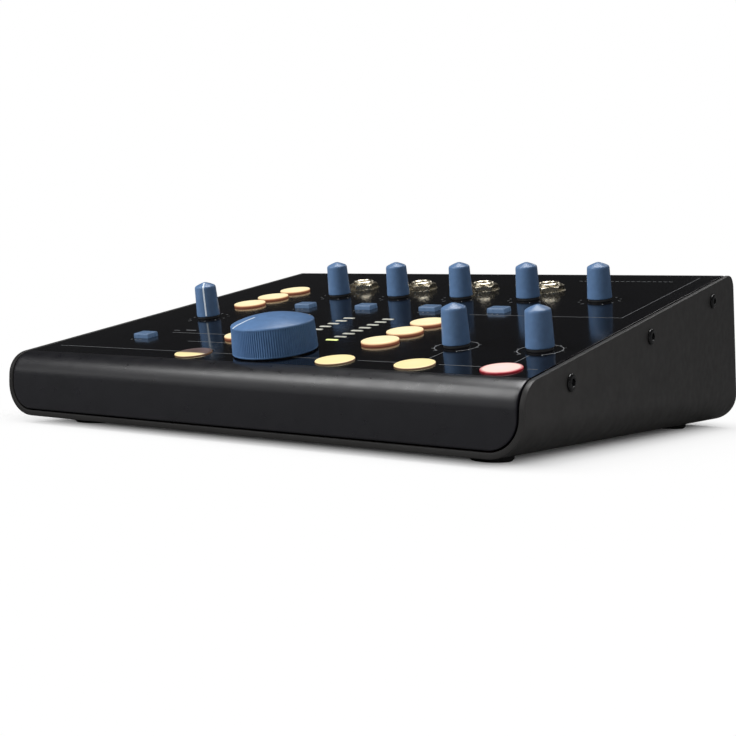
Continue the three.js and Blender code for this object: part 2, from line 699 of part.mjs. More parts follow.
// Push switches: a rectangular cap with a holding rim and a stem
function makeSwitches() {
  const rimTop = -coverDrop - FIT;
  const rimFoot = rimTop - BUTTON_RIM_THICKNESS;
  const stemFoot = boardTop + TACT_HEIGHT + SWITCH_TRAVEL + FIT;
  const cap = joined([
    pad(0, 0, SWITCH_WIDTH, SWITCH_LENGTH, rimTop - BUTTON_RIM_THICKNESS / 2, SWITCH_PROUD),
    pad(0, 0, SWITCH_WIDTH + 2 * SWITCH_RIM, SWITCH_LENGTH + 2 * SWITCH_RIM, rimFoot, rimTop),
    pad(0, 0, SWITCH_STEM, SWITCH_STEM, stemFoot, rimTop),
  ]);
  for (const { name, x, s } of switches) {
    place(deck, name, geometryOf(cap), materials.knob, x, s);
  }
}

// Level meter: sixteen light bars standing on one carrier under the cover
function makeMeter() {
  const carrierTop = -coverDrop - FIT;
  const carrierFoot = carrierTop - METER_CARRIER;
  const width = 2 * METER_SPREAD + BAR_WIDTH + 2 * METER_MARGIN;
  const length = meterLength + BAR_LENGTH + 2 * METER_MARGIN;
  const pieces = [pad(0, METER_ROW + meterLength / 2, width, length, carrierFoot, carrierTop)];
  for (const s of meterRows) {
    for (const x of [-METER_SPREAD, METER_SPREAD]) {
      pieces.push(pad(x, s, BAR_WIDTH, BAR_LENGTH, carrierTop - METER_CARRIER / 2, 0));
    }
  }
  place(deck, 'level_meter_bars', geometryOf(joined(pieces)), materials.meter);
}

// A jack socket along Z: threaded bushing with its hex nut, before the bore is cut
function jackFront(bushingFoot) {
  const nut = new THREE.CylinderGeometry(
    JACK_NUT_FLATS / Math.sqrt(3), JACK_NUT_FLATS / Math.sqrt(3), JACK_NUT_THICKNESS, HEX_SIDES);
  nut.rotateX(Math.PI / 2);
  nut.translate(0, 0, FIT + JACK_NUT_THICKNESS / 2);
  const bushing = turned([
    [0, JACK_PROUD],
    [JACK_BUSHING_RADIUS - JACK_MOUTH, JACK_PROUD],
    [JACK_BUSHING_RADIUS, JACK_PROUD - JACK_MOUTH],
    [JACK_BUSHING_RADIUS, bushingFoot],
    [0, bushingFoot],
  ], JACK_SIDES);
  return solidOf(nut).add(solidOf(bushing));
}

// Phone jacks on the deck
function makePhoneJacks() {
  const bodyTop = -coverDrop - FIT;
  const body = pad(0, 0, JACK_BODY, JACK_BODY, -JACK_DEPTH, bodyTop);
  const bore = upright(JACK_BORE_RADIUS, 0, 0, -JACK_DEPTH + JACK_FLOOR, JACK_PROUD + OVERRUN, JACK_SIDES);
  const jack = jackFront(bodyTop - COVER_SHEET).add(body).subtract(bore);
  for (const { name, x } of phoneJacks) {
    place(deck, name, geometryOf(jack), materials.steel, x, phoneJackRow);
  }
}

// Rear jacks: stacked pairs of sockets in one moulded body
function makeRearJacks() {
  const front = jackFront(-REAR_SHEET - 2 * FIT - REAR_SHEET);
  const halfTurn = new THREE.Matrix4().makeRotationX(-Math.PI / 2);
  const sockets = [];
  const bores = [];
  for (const h of socketHeights) {
    const seat = new THREE.Matrix4().makeTranslation(0, DECK_LENGTH, h).multiply(halfTurn);
    sockets.push(front.transform(seat.elements));
    bores.push(lengthwise(
      JACK_BORE_RADIUS, 0, h, DECK_LENGTH - JACK_DEPTH, DECK_LENGTH + JACK_PROUD + OVERRUN, JACK_SIDES));
  }
  const body = block(
    [-REAR_JACK_WIDTH / 2, DECK_LENGTH - JACK_DEPTH - JACK_FLOOR, ioBoardTop + FIT],
    [REAR_JACK_WIDTH / 2, socketFace, upperSocket + REAR_JACK_RISE]);
  const jack = joined([body, ...sockets]).subtract(joined(bores));
  rearJackPlaces.forEach((x, i) => {
    place(deck, `rear_jack_pair_${i + 1}`, geometryOf(jack), materials.plastic, x);
  });
}

// Phono sockets: two barrels in one body
function makePhonoSockets() {
  const barrelEnd = DECK_LENGTH + PHONO_PROUD;
  const body = block(
    [-PHONO_WIDTH / 2, socketFace - PHONO_BODY_DEPTH, ioBoardTop + FIT],
    [PHONO_WIDTH / 2, socketFace, upperSocket + REAR_JACK_RISE]);
  const barrels = socketHeights.map((h) => lengthwise(
    PHONO_RADIUS, 0, h, socketFace - REAR_SHEET, barrelEnd, BORE_SIDES));
  const pins = socketHeights.map((h) => lengthwise(
    PHONO_PIN_BORE, 0, h, DECK_LENGTH, barrelEnd + OVERRUN, SMALL_SIDES));
  const sockets = joined([body, ...barrels]).subtract(joined(pins));
  place(deck, 'phono_sockets', geometryOf(sockets), materials.steel, phonoPlace);
}

// Power inlet: a moulded block with a round well and a centre pin
function makePowerInlet() {
  const face = DECK_LENGTH + INLET_FACE;
  const middle = ioBoardTop + FIT + INLET_HEIGHT / 2;
  const body = block(
    [-INLET_WIDTH / 2, face - INLET_DEPTH, ioBoardTop + FIT],
    [INLET_WIDTH / 2, face, ioBoardTop + FIT + INLET_HEIGHT]);
  const well = lengthwise(INLET_BORE_RADIUS, 0, middle, face - INLET_BORE_DEPTH, face + OVERRUN, BORE_SIDES);
  const pin = lengthwise(
    INLET_PIN_RADIUS, 0, middle, face - INLET_DEPTH + INLET_PIN_RADIUS, face - INLET_FACE, SMALL_SIDES);
  place(deck, 'power_inlet', geometryOf(body.subtract(well).add(pin)), materials.plastic, inletPlace);
}

// Control board: circuit board with its pots and switches soldered on, and windows for the phone jacks
function makeControlBoard() {
  const header = RIBBON_WIDTH + 2 * HEADER_MARGIN;
  const pieces = [
    block([-boardHalfWidth, BOARD_START, boardUnderside], [boardHalfWidth, boardEnd, boardTop]),
    pad(0, MAIN_KNOB_ROW, POT_SIZE, POT_SIZE, boardUnderside, potTop),
    ...smallKnobs.map(({ x, s }) => pad(x, s, POT_SIZE, POT_SIZE, boardUnderside, potTop)),
    ...buttons.map(({ x, s }) => pad(x, s, TACT_SIZE, TACT_SIZE, boardUnderside, boardTop + TACT_HEIGHT)),
    ...switches.map(({ x, s }) => pad(x, s, LATCH_SIZE, LATCH_SIZE, boardUnderside, boardTop + TACT_HEIGHT)),
    pad(ribbonPlace, ribbonTopRow, header, HEADER_DEPTH, boardUnderside - HEADER_HEIGHT, boardTop),
  ];
  const boreFoot = -SPINDLE_DEPTH - FIT;
  const windowSize = JACK_BODY + 2 * FIT;
  const cuts = [
    upright(SPINDLE_RADIUS + FIT, 0, MAIN_KNOB_ROW, boreFoot, 0, BORE_SIDES),
    ...smallKnobs.map(({ x, s }) => upright(SPINDLE_RADIUS + FIT, x, s, boreFoot, 0, BORE_SIDES)),
    ...phoneJacks.map(({ x }) => pad(
      x, phoneJackRow, windowSize, windowSize, boardUnderside - OVERRUN, boardTop + OVERRUN)),
  ];
  const board = joined(pieces).subtract(joined(cuts));
  place(deck, 'control_board', geometryOf(board), materials.board);
}

// Input and output board, under the rear sockets
const ribbonFootRow = ioBoardStart + HEADER_DEPTH / 2 + HEADER_MARGIN;

function makeIoBoard() {
  const header = RIBBON_WIDTH + 2 * HEADER_MARGIN;
  const sheet = block(
    [-ioBoardHalfWidth, ioBoardStart, ioBoardUnderside],
    [ioBoardHalfWidth, socketFace, ioBoardTop]);
  const plug = pad(
    ribbonPlace, ribbonFootRow, header, HEADER_DEPTH, ioBoardUnderside, ioBoardTop + HEADER_HEIGHT);
  place(deck, 'io_board', geometryOf(sheet.add(plug)), materials.board);
}

// Ribbon cable: a flat strip that hangs from the control board and bends back to the lower board
function makeRibbon() {
  const top = boardUnderside - HEADER_HEIGHT - FIT;
  const foot = ioBoardTop + HEADER_HEIGHT + FIT;
  const bend = new THREE.CubicBezierCurve(
    new THREE.Vector2(ribbonTopRow, top),
    new THREE.Vector2(ribbonTopRow, top - RIBBON_REACH),
    new THREE.Vector2(ribbonFootRow, foot + RIBBON_REACH),
    new THREE.Vector2(ribbonFootRow, foot));
  const near = [];
  const far = [];
  for (let i = 0; i <= RIBBON_STEPS; i += 1) {
    const share = i / RIBBON_STEPS;
    const point = bend.getPoint(share);
    const along = bend.getTangent(share);
    const off = new THREE.Vector2(-along.y, along.x).multiplyScalar(RIBBON_THICKNESS / 2);
    near.push(point.clone().add(off));
    far.unshift(point.clone().sub(off));
  }
  const geometry = new THREE.ExtrudeGeometry(new THREE.Shape([...near, ...far]), {
    depth: RIBBON_WIDTH, bevelEnabled: false,
  });
  geometry.translate(0, 0, -RIBBON_WIDTH / 2);
  geometry.applyMatrix4(new THREE.Matrix4().makeBasis(
    new THREE.Vector3(0, 1, 0), new THREE.Vector3(0, 0, 1), new THREE.Vector3(1, 0, 0)));
  place(deck, 'ribbon_cable', geometryOf(solidOf(geometry)), materials.ribbon, ribbonPlace);
}

makeTray();
makeCover();
makeOverlay();
makeRearPanel();
makeFeet();
makeScrews();
makeSmallKnobs();
makeMainKnob();
makeButtons();
makeSwitches();
makeMeter();
makePhoneJacks();
makeRearJacks();
makePhonoSockets();
makePowerInlet();
makeControlBoard();
makeIoBoard();
makeRibbon();

export default model;
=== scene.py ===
import json
import math

import bmesh
import bpy
from mathutils import Matrix, Vector


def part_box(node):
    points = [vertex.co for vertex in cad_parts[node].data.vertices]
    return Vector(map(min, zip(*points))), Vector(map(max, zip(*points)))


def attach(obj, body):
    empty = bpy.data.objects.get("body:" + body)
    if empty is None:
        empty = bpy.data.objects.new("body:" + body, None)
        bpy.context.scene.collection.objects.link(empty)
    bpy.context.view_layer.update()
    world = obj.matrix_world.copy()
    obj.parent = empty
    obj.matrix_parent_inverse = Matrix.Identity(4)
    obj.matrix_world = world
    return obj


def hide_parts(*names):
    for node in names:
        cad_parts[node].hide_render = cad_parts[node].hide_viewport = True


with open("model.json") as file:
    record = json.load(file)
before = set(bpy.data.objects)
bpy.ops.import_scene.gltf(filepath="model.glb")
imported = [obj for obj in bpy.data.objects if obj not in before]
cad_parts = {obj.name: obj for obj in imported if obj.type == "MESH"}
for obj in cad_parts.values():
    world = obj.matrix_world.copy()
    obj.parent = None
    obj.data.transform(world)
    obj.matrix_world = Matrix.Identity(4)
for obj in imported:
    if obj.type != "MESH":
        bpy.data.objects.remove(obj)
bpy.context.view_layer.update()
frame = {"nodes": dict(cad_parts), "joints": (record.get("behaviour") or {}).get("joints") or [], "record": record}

# Units: pieces are drawn in millimetres and stored in metres
MM = 0.001
METRES = Matrix.Scale(MM, 4)
QUARTER = math.pi / 2

# Case, as in the solids
SHEET = 2.0
BEND = 12.0
SEAM = 0.5
FIT = 0.3
FRONT_ROUND = 9.0
REAR_ROUND = 6.0
REAR_LIP = 8.0
OVERLAY = 1.0
OVERLAY_LAND = 0.6
FLANGE_DEPTH = 10.0
FLANGE_START = 20.0
FLANGE_REAR_INSET = 17.0
FLANGE_EDGE = 0.2
SHEET_EDGE = 0.45
OVERLAY_EDGE = 0.12
BEND_STEPS = 12
ROUND_STEPS = 14
HOLE_SIDES = 64
HOLE_CORNER = 0.3
CORNER_STEPS = 3
BLOCK_EDGE = 0.3

# Sides of turned pieces, and the angles in degrees from which an edge is sharp
FINE_SIDES = 96
MIDDLE_SIDES = 72
SMALL_SIDES = 48
SHEET_ANGLE = 25
TURNED_ANGLE = 30
COMMON_ANGLE = 35
CAP_ANGLE = 40
SWITCH_ANGLE = 50
PRINT_ANGLE = 20

# Points nearer than this are one
MERGE = 0.0005

# Controls and sockets, as in the solids
KNOB_BASE = 4.7
KNOB_TOP = 4.25
KNOB_HEIGHT = 14.7
KNOB_LIFT = 1.0
KNOB_SKIRT = 1.05
SPINDLE = 3.0
SPINDLE_DEPTH = 9.7
MAIN_TOP = 14.3
MAIN_RIM = 10.7
MAIN_CROWN = 13.3
MAIN_SKIRT = 0.5
BUTTON = 6.6
BUTTON_PROUD = 1.2
TALK_PROUD = 0.55
SWITCH_WIDTH = 7.6
SWITCH_LENGTH = 5.6
SWITCH_PROUD = 1.6
BAR_WIDTH = 5.0
BAR_LENGTH = 1.5
BAR_PROUD = 0.12
METER_BARS = 8
METER_SPREAD = 9.0
METER_MARGIN = 2.0
JACK_BORE = 3.4
JACK_BUSHING = 4.5
JACK_FLATS = 11.0
JACK_NUT = 2.0
JACK_PROUD = 3.4
JACK_DEPTH = 24.0
JACK_BODY = 12.4
INLET_WIDTH = 11.0
INLET_HEIGHT = 12.0
PHONO = 4.15
PHONO_PROUD = 8.5

nodes = frame["nodes"]
joints = {joint["name"]: joint for joint in frame["joints"]}


def centre(low, high):
    return [(low[i] + high[i]) / 2 for i in range(3)]


def node_box(node):
    low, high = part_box(node)
    return low / MM, high / MM


# Places of the case, read from the frame
tray_low, tray_high = node_box("chassis_tray")
HALF = tray_high.x
FOOT = tray_low.z
FRONT_Y = node_box("top_cover")[0].y
NORMAL = Vector(joints["main_level_turn"]["axis"]).normalized()
TILT = math.atan2(-NORMAL.y, NORMAL.z)
main_place = Vector(joints["main_level_turn"]["pos_m"]) / MM
DECK_Z = main_place.z - (main_place.y - FRONT_Y) * math.tan(TILT)
DECK = Matrix.Translation((0, FRONT_Y, DECK_Z)) @ Matrix.Rotation(TILT, 4, "X")
TO_DECK = DECK.inverted()
COVER_HALF = HALF - SHEET - SEAM
SHELL_BOTTOM = FOOT + SHEET + SEAM


def deck_box(node):
    """Lowest and highest corner of a node in deck places, in millimetres."""
    spots = [TO_DECK @ (vertex.co / MM) for vertex in nodes[node].data.vertices]
    low = Vector(min(spot[i] for spot in spots) for i in range(3))
    high = Vector(max(spot[i] for spot in spots) for i in range(3))
    return low, high


def opening_height(name):
    """Height of an opening's middle above the deck."""
    openings = {opening["name"]: opening["box_m"] for opening in frame["record"]["physics"]["openings"]}
    return (TO_DECK @ (Vector(centre(*openings[name])) / MM)).z


ROUND_TANGENT = FRONT_ROUND * (1 - math.sin(TILT)) / math.cos(TILT)
RECESS_START = ROUND_TANGENT + OVERLAY_LAND
DECK_LENGTH = deck_box("deck_overlay")[1].y + FIT + OVERLAY_LAND + REAR_ROUND
RECESS_END = DECK_LENGTH - REAR_ROUND - OVERLAY_LAND
RECESS = OVERLAY + FIT
COVER_DROP = RECESS + SHEET
RIM_TOP = -COVER_DROP - FIT
TOP_Z = DECK_Z + DECK_LENGTH * math.sin(TILT)
REAR_Y = FRONT_Y + DECK_LENGTH * math.cos(TILT) + (TOP_Z - FOOT) * math.tan(TILT)
UPPER_SOCKET = opening_height("rear_jack_1_upper_bore")
LOWER_SOCKET = opening_height("rear_jack_1_lower_bore")
SOCKETS = (("upper", UPPER_SOCKET), ("lower", LOWER_SOCKET))
SOCKET_FACE = DECK_LENGTH - SHEET - FIT
FRONT_CENTRE = DECK @ Vector((0, ROUND_TANGENT, -FRONT_ROUND))
REAR_CENTRE = DECK @ Vector((0, DECK_LENGTH - REAR_ROUND, -REAR_ROUND))

small_knobs = [name for name in nodes if name.endswith("_knob") and name != "main_level_knob"]
talk_buttons = ["mono_button", "dim_button", "talkback_button", "mute_button"]
select_buttons = [name for name in nodes if name[:-2].endswith("_button")]
switches = [name for name in nodes if name.endswith("_switch_cap")]
phone_jacks = [name for name in nodes if name.startswith("phones_") and name.endswith("_jack")]
rear_pairs = [name for name in nodes if name.startswith("rear_jack_pair_")]
screws = [name for name in nodes if name.startswith("cheek_screw_")]
feet = [name for name in nodes if name.startswith("foot_")]
controls = small_knobs + talk_buttons + select_buttons + switches + phone_jacks + ["main_level_knob"]
places = {name: centre(*deck_box(name))[:2] for name in controls}
meter_low, meter_high = deck_box("level_meter_bars")
meter_first = meter_low.y + METER_MARGIN + BAR_LENGTH / 2
meter_last = meter_high.y - METER_MARGIN - BAR_LENGTH / 2
meter_step = (meter_last - meter_first) / (METER_BARS - 1)
METER_ROWS = [meter_first + meter_step * step for step in range(METER_BARS)]


# Materials
class Tree:
    """The nodes of one material or world, made and linked by short calls."""

    def __init__(self, owner):
        owner.use_nodes = True
        self.nodes = owner.node_tree.nodes
        self.links = owner.node_tree.links

    def feed(self, node, inputs):
        """Sets inputs to values, or links them where an output is given."""
        for key, value in inputs.items():
            if isinstance(value, bpy.types.NodeSocket):
                self.links.new(value, node.inputs[key])
            else:
                node.inputs[key].default_value = value

    def node(self, kind, inputs=None, **settings):
        made = self.nodes.new(kind)
        for key, value in settings.items():
            setattr(made, key, value)
        self.feed(made, inputs or {})
        return made

    def out(self, kind, inputs, **settings):
        return self.node(kind, inputs, **settings).outputs[0]

    def maths(self, operation, *inputs):
        return self.out("ShaderNodeMath", dict(enumerate(inputs)), operation=operation)

    def vector(self, operation, *inputs):
        return self.out("ShaderNodeVectorMath", dict(enumerate(inputs)), operation=operation)

    def length(self, vector):
        return self.node("ShaderNodeVectorMath", {0: vector}, operation="LENGTH").outputs["Value"]

    def mapped(self, value, start, end, low=0.0, high=1.0, **settings):
        """A value between start and end, brought to between low and high."""
        return self.out("ShaderNodeMapRange", {
            "Value": value, "From Min": start, "From Max": end, "To Min": low, "To Max": high}, **settings)

    def ramp(self, source, stops):
        """Colours, or greys given as one number, that run through some stops."""
        made = self.node("ShaderNodeValToRGB", {"Fac": source})
        ramp = made.color_ramp
        while len(ramp.elements) < len(stops):
            ramp.elements.new(0.5)
        for element, (place, colour) in zip(ramp.elements, stops):
            element.position = place
            element.color = (*colour, 1) if hasattr(colour, "__len__") else (colour, colour, colour, 1)
        return made.outputs["Color"]

    def mixed(self, share, first, second):
        """Two colours mixed by a share of the second."""
        made = self.node("ShaderNodeMix", {"Factor": share}, data_type="RGBA")
        colours = [socket for socket in made.inputs if socket.type == "RGBA"]
        for source, target in zip((first, second), colours):
            self.links.new(source, target)
        return next(socket for socket in made.outputs if socket.type == "RGBA")


class Finish(Tree):
    """A procedural material, with a slot name for the pieces that wear it, which nothing uses. Sizes are in
    millimetres.
    """

    DIM = 0.3
    BRIGHT = 0.7
    PATTERN_DIM = 0.2
    PATTERN_BRIGHT = 0.8

    def __init__(self, name, colour, roughness=0.5, metallic=0.0, specular=0.5, slot=None):
        self.material = bpy.data.materials.new(name)
        super().__init__(self.material)
        self.slot = slot or name
        self.colour = colour
        self.shader = self.nodes["Principled BSDF"]
        self.feed(self.shader, {"Base Color": (*colour, 1), "Roughness": roughness, "Metallic": metallic,
                                "Specular IOR Level": specular})
        self.place = self.node("ShaderNodeTexCoord").outputs["Object"]

    def noise(self, size, detail=3.0):
        return self.out("ShaderNodeTexNoise", {
            "Vector": self.place, "Scale": 1 / (size * MM), "Detail": detail})

    def varied(self, socket, source, stops):
        self.feed(self.shader, {socket: self.ramp(source, stops)})
        return self

    def blotched(self, size, spread):
        """The colour wanders by a share of itself."""
        return self.varied("Base Color", self.noise(size), [
            (self.DIM, [value * (1 - spread) for value in self.colour]),
            (self.BRIGHT, [value * (1 + spread) for value in self.colour])])

    def rough(self, size, low, high, detail=3.0, bright=BRIGHT):
        """The roughness wanders between two values."""
        return self.varied("Roughness", self.noise(size, detail), [(self.DIM, low), (bright, high)])

    def relief(self, source, height):
        bump = self.out("ShaderNodeBump", {"Height": source, "Strength": 1.0, "Distance": height * MM})
        self.feed(self.shader, {"Normal": bump})
        return self

    def grained(self, size, height, detail=3.0):
        return self.relief(self.noise(size, detail), height)

    def patterned(self, kind, scale, dark, light, height, **settings):
        """A raised pattern between two colours."""
        share = self.node(kind, {"Vector": self.place, "Scale": scale}, **settings).outputs["Fac"]
        self.varied("Base Color", share, [(self.PATTERN_DIM, dark), (self.PATTERN_BRIGHT, light)])
        return self.relief(share, height)


case_paint = Finish("case_paint", (0.030, 0.0290, 0.0285), specular=0.3)
case_paint.blotched(size=9, spread=0.08).rough(size=3.5, low=0.38, high=0.48)
case_paint.grained(size=0.5, height=0.0025, detail=2)

cover_paint = Finish("cover_paint", (0.0055, 0.0055, 0.0075))
cover_paint.blotched(size=11, spread=0.12).rough(size=4, low=0.27, high=0.34)
cover_paint.grained(size=0.5, height=0.0025, detail=2)

deck_gloss = Finish("deck_gloss", (0.0025, 0.0025, 0.0035))
deck_gloss.blotched(size=14, spread=0.1).rough(size=7, low=0.12, high=0.15, detail=5, bright=0.75)
deck_gloss.grained(size=30, height=0.0003, detail=1)

print_ink = Finish("print_ink", (0.17, 0.178, 0.185), slot="deck_gloss")
print_ink.blotched(size=1.2, spread=0.15).grained(size=0.15, height=0.005)


def knob_finish(name, colour, specular):
    finish = Finish(name, colour, specular=specular, slot="knob_blue")
    finish.blotched(size=2.5, spread=0.08).rough(size=1.1, low=0.3, high=0.37)
    return finish.grained(size=0.25, height=0.0015, detail=2)


knob_blue = knob_finish("knob_blue", (0.102, 0.186, 0.340), specular=0.3)
main_blue = knob_finish("main_blue", (0.094, 0.184, 0.355), specular=0.13)

switch_blue = Finish("switch_blue", (0.092, 0.158, 0.27))
switch_blue.blotched(size=1.6, spread=0.08).rough(size=0.8, low=0.26, high=0.34)
switch_blue.grained(size=0.2, height=0.004)

pointer_white = Finish("pointer_white", (0.60, 0.67, 0.74), roughness=0.45, slot="knob_blue")
pointer_white.blotched(size=0.5, spread=0.06).grained(size=0.1, height=0.003)

rubber = Finish("rubber", (0.018, 0.018, 0.018), roughness=0.85, specular=0.25)
rubber.blotched(size=1.5, spread=0.2).grained(size=0.3, height=0.03, detail=4)

screw_black = Finish("screw_black", (0.006, 0.006, 0.0065))
screw_black.rough(size=0.6, low=0.16, high=0.28).grained(size=0.15, height=0.006)

jack_metal = Finish("jack_metal", (0.62, 0.565, 0.445), metallic=1.0)
jack_metal.blotched(size=1.4, spread=0.07).rough(size=0.5, low=0.2, high=0.32, detail=4)
jack_metal.grained(size=0.4, height=0.0015, detail=2)

black_plastic = Finish("black_plastic", (0.016, 0.016, 0.017))
black_plastic.blotched(size=2, spread=0.15).rough(size=1, low=0.42, high=0.58)
black_plastic.grained(size=0.2, height=0.015)

circuit_board = Finish("circuit_board", (0.012, 0.075, 0.03), roughness=0.4)
circuit_board.patterned("ShaderNodeTexBrick", scale=160, dark=circuit_board.colour,
                        light=(0.03, 0.14, 0.06), height=0.03)

ribbon = Finish("ribbon", (0.3, 0.31, 0.33))
ribbon.patterned("ShaderNodeTexWave", scale=250, dark=(0.2, 0.21, 0.23), light=ribbon.colour,
                 height=0.15, bands_direction="X")

meter_lens = Finish("meter_lens", (0.55, 0.55, 0.48), roughness=0.35)
meter_lens.blotched(size=0.9, spread=0.12).grained(size=0.2, height=0.004)

meter_lit = Finish("meter_lit", (0.5, 0.6, 0.2), roughness=0.35, slot="meter_lens")
meter_lit.varied("Emission Color", meter_lit.noise(0.9), [
    (meter_lit.DIM, (0.75, 0.85, 0.25)), (meter_lit.BRIGHT, (0.95, 1.0, 0.45))])
meter_lit.feed(meter_lit.shader, {"Emission Strength": 0.9})

# Lit caps: how unevenly they glow, how their top warms outward, and the dim far half of one of them
GLOW_BLOTCH = 0.04
WARM_SHARES = (1.0, 0.97, 0.9)
WARM_FROM = 0.6
WALL_LIP = 0.3
FAR_HALF_START = -2.5
FAR_HALF_END = -1.0


def lit(name, slot, proud, middle, rim, side, foot, edge, reach, soft, far_half=None):
    """A translucent cap lit from below, even over its top and darker down its side.

    The rim's colour starts at a share of the radius called edge. The top's colour goes on down the side for
    reach and fades out over soft. A dim far half has a ramp of its own.
    """
    finish = Finish(name, foot, roughness=0.35, slot=slot)
    spot = finish.node("ShaderNodeSeparateXYZ", {"Vector": finish.place}).outputs
    flat = finish.out("ShaderNodeCombineXYZ", {"X": spot["X"], "Y": spot["Y"]})
    outward = finish.mapped(finish.length(flat), 0, BUTTON * MM)
    blotch = finish.mapped(finish.noise(size=2.2, detail=2), 0, 1, -GLOW_BLOTCH, GLOW_BLOTCH)
    spread = finish.maths("ADD", outward, blotch)
    warm = [value * share for value, share in zip(middle, WARM_SHARES)]
    top = finish.ramp(spread, [(0.0, middle), (WARM_FROM, warm), (edge, warm), (1.0, rim)])
    if far_half:
        across = finish.mapped(spot["Y"], FAR_HALF_START * MM, FAR_HALF_END * MM)
        top = finish.mixed(across, top, finish.ramp(spread, far_half))
    wall = finish.ramp(finish.mapped(spot["Z"], 0, (proud - WALL_LIP) * MM), [(0.0, foot), (1.0, side)])
    up = finish.mapped(spot["Z"], (proud - reach - soft) * MM, (proud - reach) * MM)
    finish.feed(finish.shader, {"Emission Color": finish.mixed(up, wall, top), "Emission Strength": 1.0})
    return finish.grained(size=0.3, height=0.004)


TALK_CAP = {"middle": (1.0, 0.89, 0.48), "rim": (0.95, 0.80, 0.46), "side": (0.14, 0.07, 0.035),
            "foot": (0.05, 0.03, 0.02), "edge": 0.95, "reach": 0.15, "soft": 0.15}
button_select = lit(
    "button_select", "button_amber", BUTTON_PROUD, middle=(1.0, 0.93, 0.60), rim=(0.95, 0.72, 0.40),
    side=(0.28, 0.09, 0.035), foot=(0.09, 0.03, 0.018), edge=0.95, reach=0.2, soft=0.5)
button_talk = lit("button_talk", "button_amber", TALK_PROUD, **TALK_CAP)
button_mono = lit(
    "button_mono", "button_amber", TALK_PROUD, **TALK_CAP,
    far_half=[(0.0, (0.05, 0.032, 0.035)), (0.8, (0.10, 0.065, 0.07)), (1.0, (0.03, 0.02, 0.02))])
button_red = lit(
    "button_red", "button_red", TALK_PROUD, middle=(1.0, 0.80, 0.77), rim=(0.40, 0.02, 0.04),
    side=(0.16, 0.008, 0.014), foot=(0.06, 0.004, 0.006), edge=0.83, reach=0.15, soft=0.2)


# Shapes
def finished_mesh(name, bm, angle=COMMON_ANGLE):
    """A mesh in metres from a shape drawn in millimetres, smooth but for edges sharper than an angle."""
    bmesh.ops.recalc_face_normals(bm, faces=bm.faces)
    mesh = bpy.data.meshes.new(name)
    bm.to_mesh(mesh)
    bm.free()
    mesh.transform(METRES)
    mesh.shade_smooth()
    mesh.set_sharp_from_angle(angle=math.radians(angle))
    return mesh


def piece(name, mesh, place, finish, node=None, body="root"):
    """Puts a mesh in the scene, on its body and standing for its solid. The place is in millimetres."""
    made = bpy.data.objects.new(name, mesh)
    bpy.context.scene.collection.objects.link(made)
    if not mesh.materials:
        mesh.materials.append(finish.material)
    shading = made.modifiers.new("even_shading", "WEIGHTED_NORMAL")
    shading.weight = 100
    shading.keep_sharp = True
    made.matrix_world = METRES @ place @ METRES.inverted()
    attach(made, body)
    if node:
        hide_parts(node)


def skinned(bm, rings):
    """Faces between closed rings of the same number of points, or between a ring and a single point."""
    for upper, lower in zip(rings, rings[1:]):
        count = max(len(upper), len(lower))
        for k in range(count):
            n = (k + 1) % count
            if len(upper) == 1:
                bm.faces.new((upper[0], lower[k], lower[n]))
            elif len(lower) == 1:
                bm.faces.new((upper[k], lower[0], upper[n]))
            else:
                bm.faces.new((upper[k], lower[k], lower[n], upper[n]))
    return bm


def lathe(profile, sides):
    """Turns radii and heights about Z, from the top down. Either may be a function of the angle."""
    bm = bmesh.new()
    rings = []
    for radius, height in profile:
        if radius == 0:
            rings.append([bm.verts.new((0, 0, height))])
            continue
        ring = []
        for k in range(sides):
            turn = 2 * math.pi * k / sides
            r = radius(turn) if callable(radius) else radius
            z = height(turn) if callable(height) else height
            ring.append(bm.verts.new((r * math.cos(turn), r * math.sin(turn), z)))
        rings.append(ring)
    return skinned(bm, rings)


def turned(name, profile, sides, angle=COMMON_ANGLE):
    return finished_mesh(name, lathe(profile, sides), angle)


# The most of a stretch between two corners that one rounding may take
REACH_SHARE = 0.49


def filleted(corners, steps=4):
    """A line through corners, each given with the radius that rounds it."""
    points = [Vector(corner[:2]) for corner in corners]
    made = []
    for i, (x, y, radius) in enumerate(corners):
        if radius <= 0 or i in (0, len(corners) - 1):
            made.append((x, y))
            continue
        here = points[i]
        back, on = points[i - 1] - here, points[i + 1] - here
        longest = REACH_SHARE * min(back.length, on.length)
        reach = min(radius / math.tan(back.angle(on) / 2), longest)
        start, end = here + back.normalized() * reach, here + on.normalized() * reach
        for k in range(steps + 1):
            t = k / steps
            made.append(tuple(start * (1 - t) ** 2 + here * 2 * t * (1 - t) + end * t ** 2))
    return made


def arc(x, y, radius, start, sweep, steps):
    turns = [start + sweep * k / steps for k in range(steps + 1)]
    return [(x + radius * math.cos(turn), y + radius * math.sin(turn)) for turn in turns]


def circle(x, y, radius):
    return arc(x, y, radius, 0, 2 * math.pi, HOLE_SIDES)[:-1]


def rectangle(x, y, width, length, corner=HOLE_CORNER):
    half_x, half_y = width / 2 - corner, length / 2 - corner
    made = []
    for k, (way_x, way_y) in enumerate(((1, 1), (-1, 1), (-1, -1), (1, -1))):
        for step in range(CORNER_STEPS + 1):
            turn = QUARTER * (k + step / CORNER_STEPS)
            made.append((x + way_x * half_x + corner * math.cos(turn),
                         y + way_y * half_y + corner * math.sin(turn)))
    return made


def shell_outline(foot, top):
    """Outline of a plate between the cheeks, its lower corners rounded to clear the tray's bends."""
    corner = BEND - SHEET - SEAM
    turns = [QUARTER * k / BEND_STEPS for k in range(BEND_STEPS + 1)]
    right = [(COVER_HALF - corner + corner * math.sin(turn), foot + corner - corner * math.cos(turn))
             for turn in turns]
    return right + [(COVER_HALF, top), (-COVER_HALF, top)] + [(-x, y) for x, y in reversed(right)]


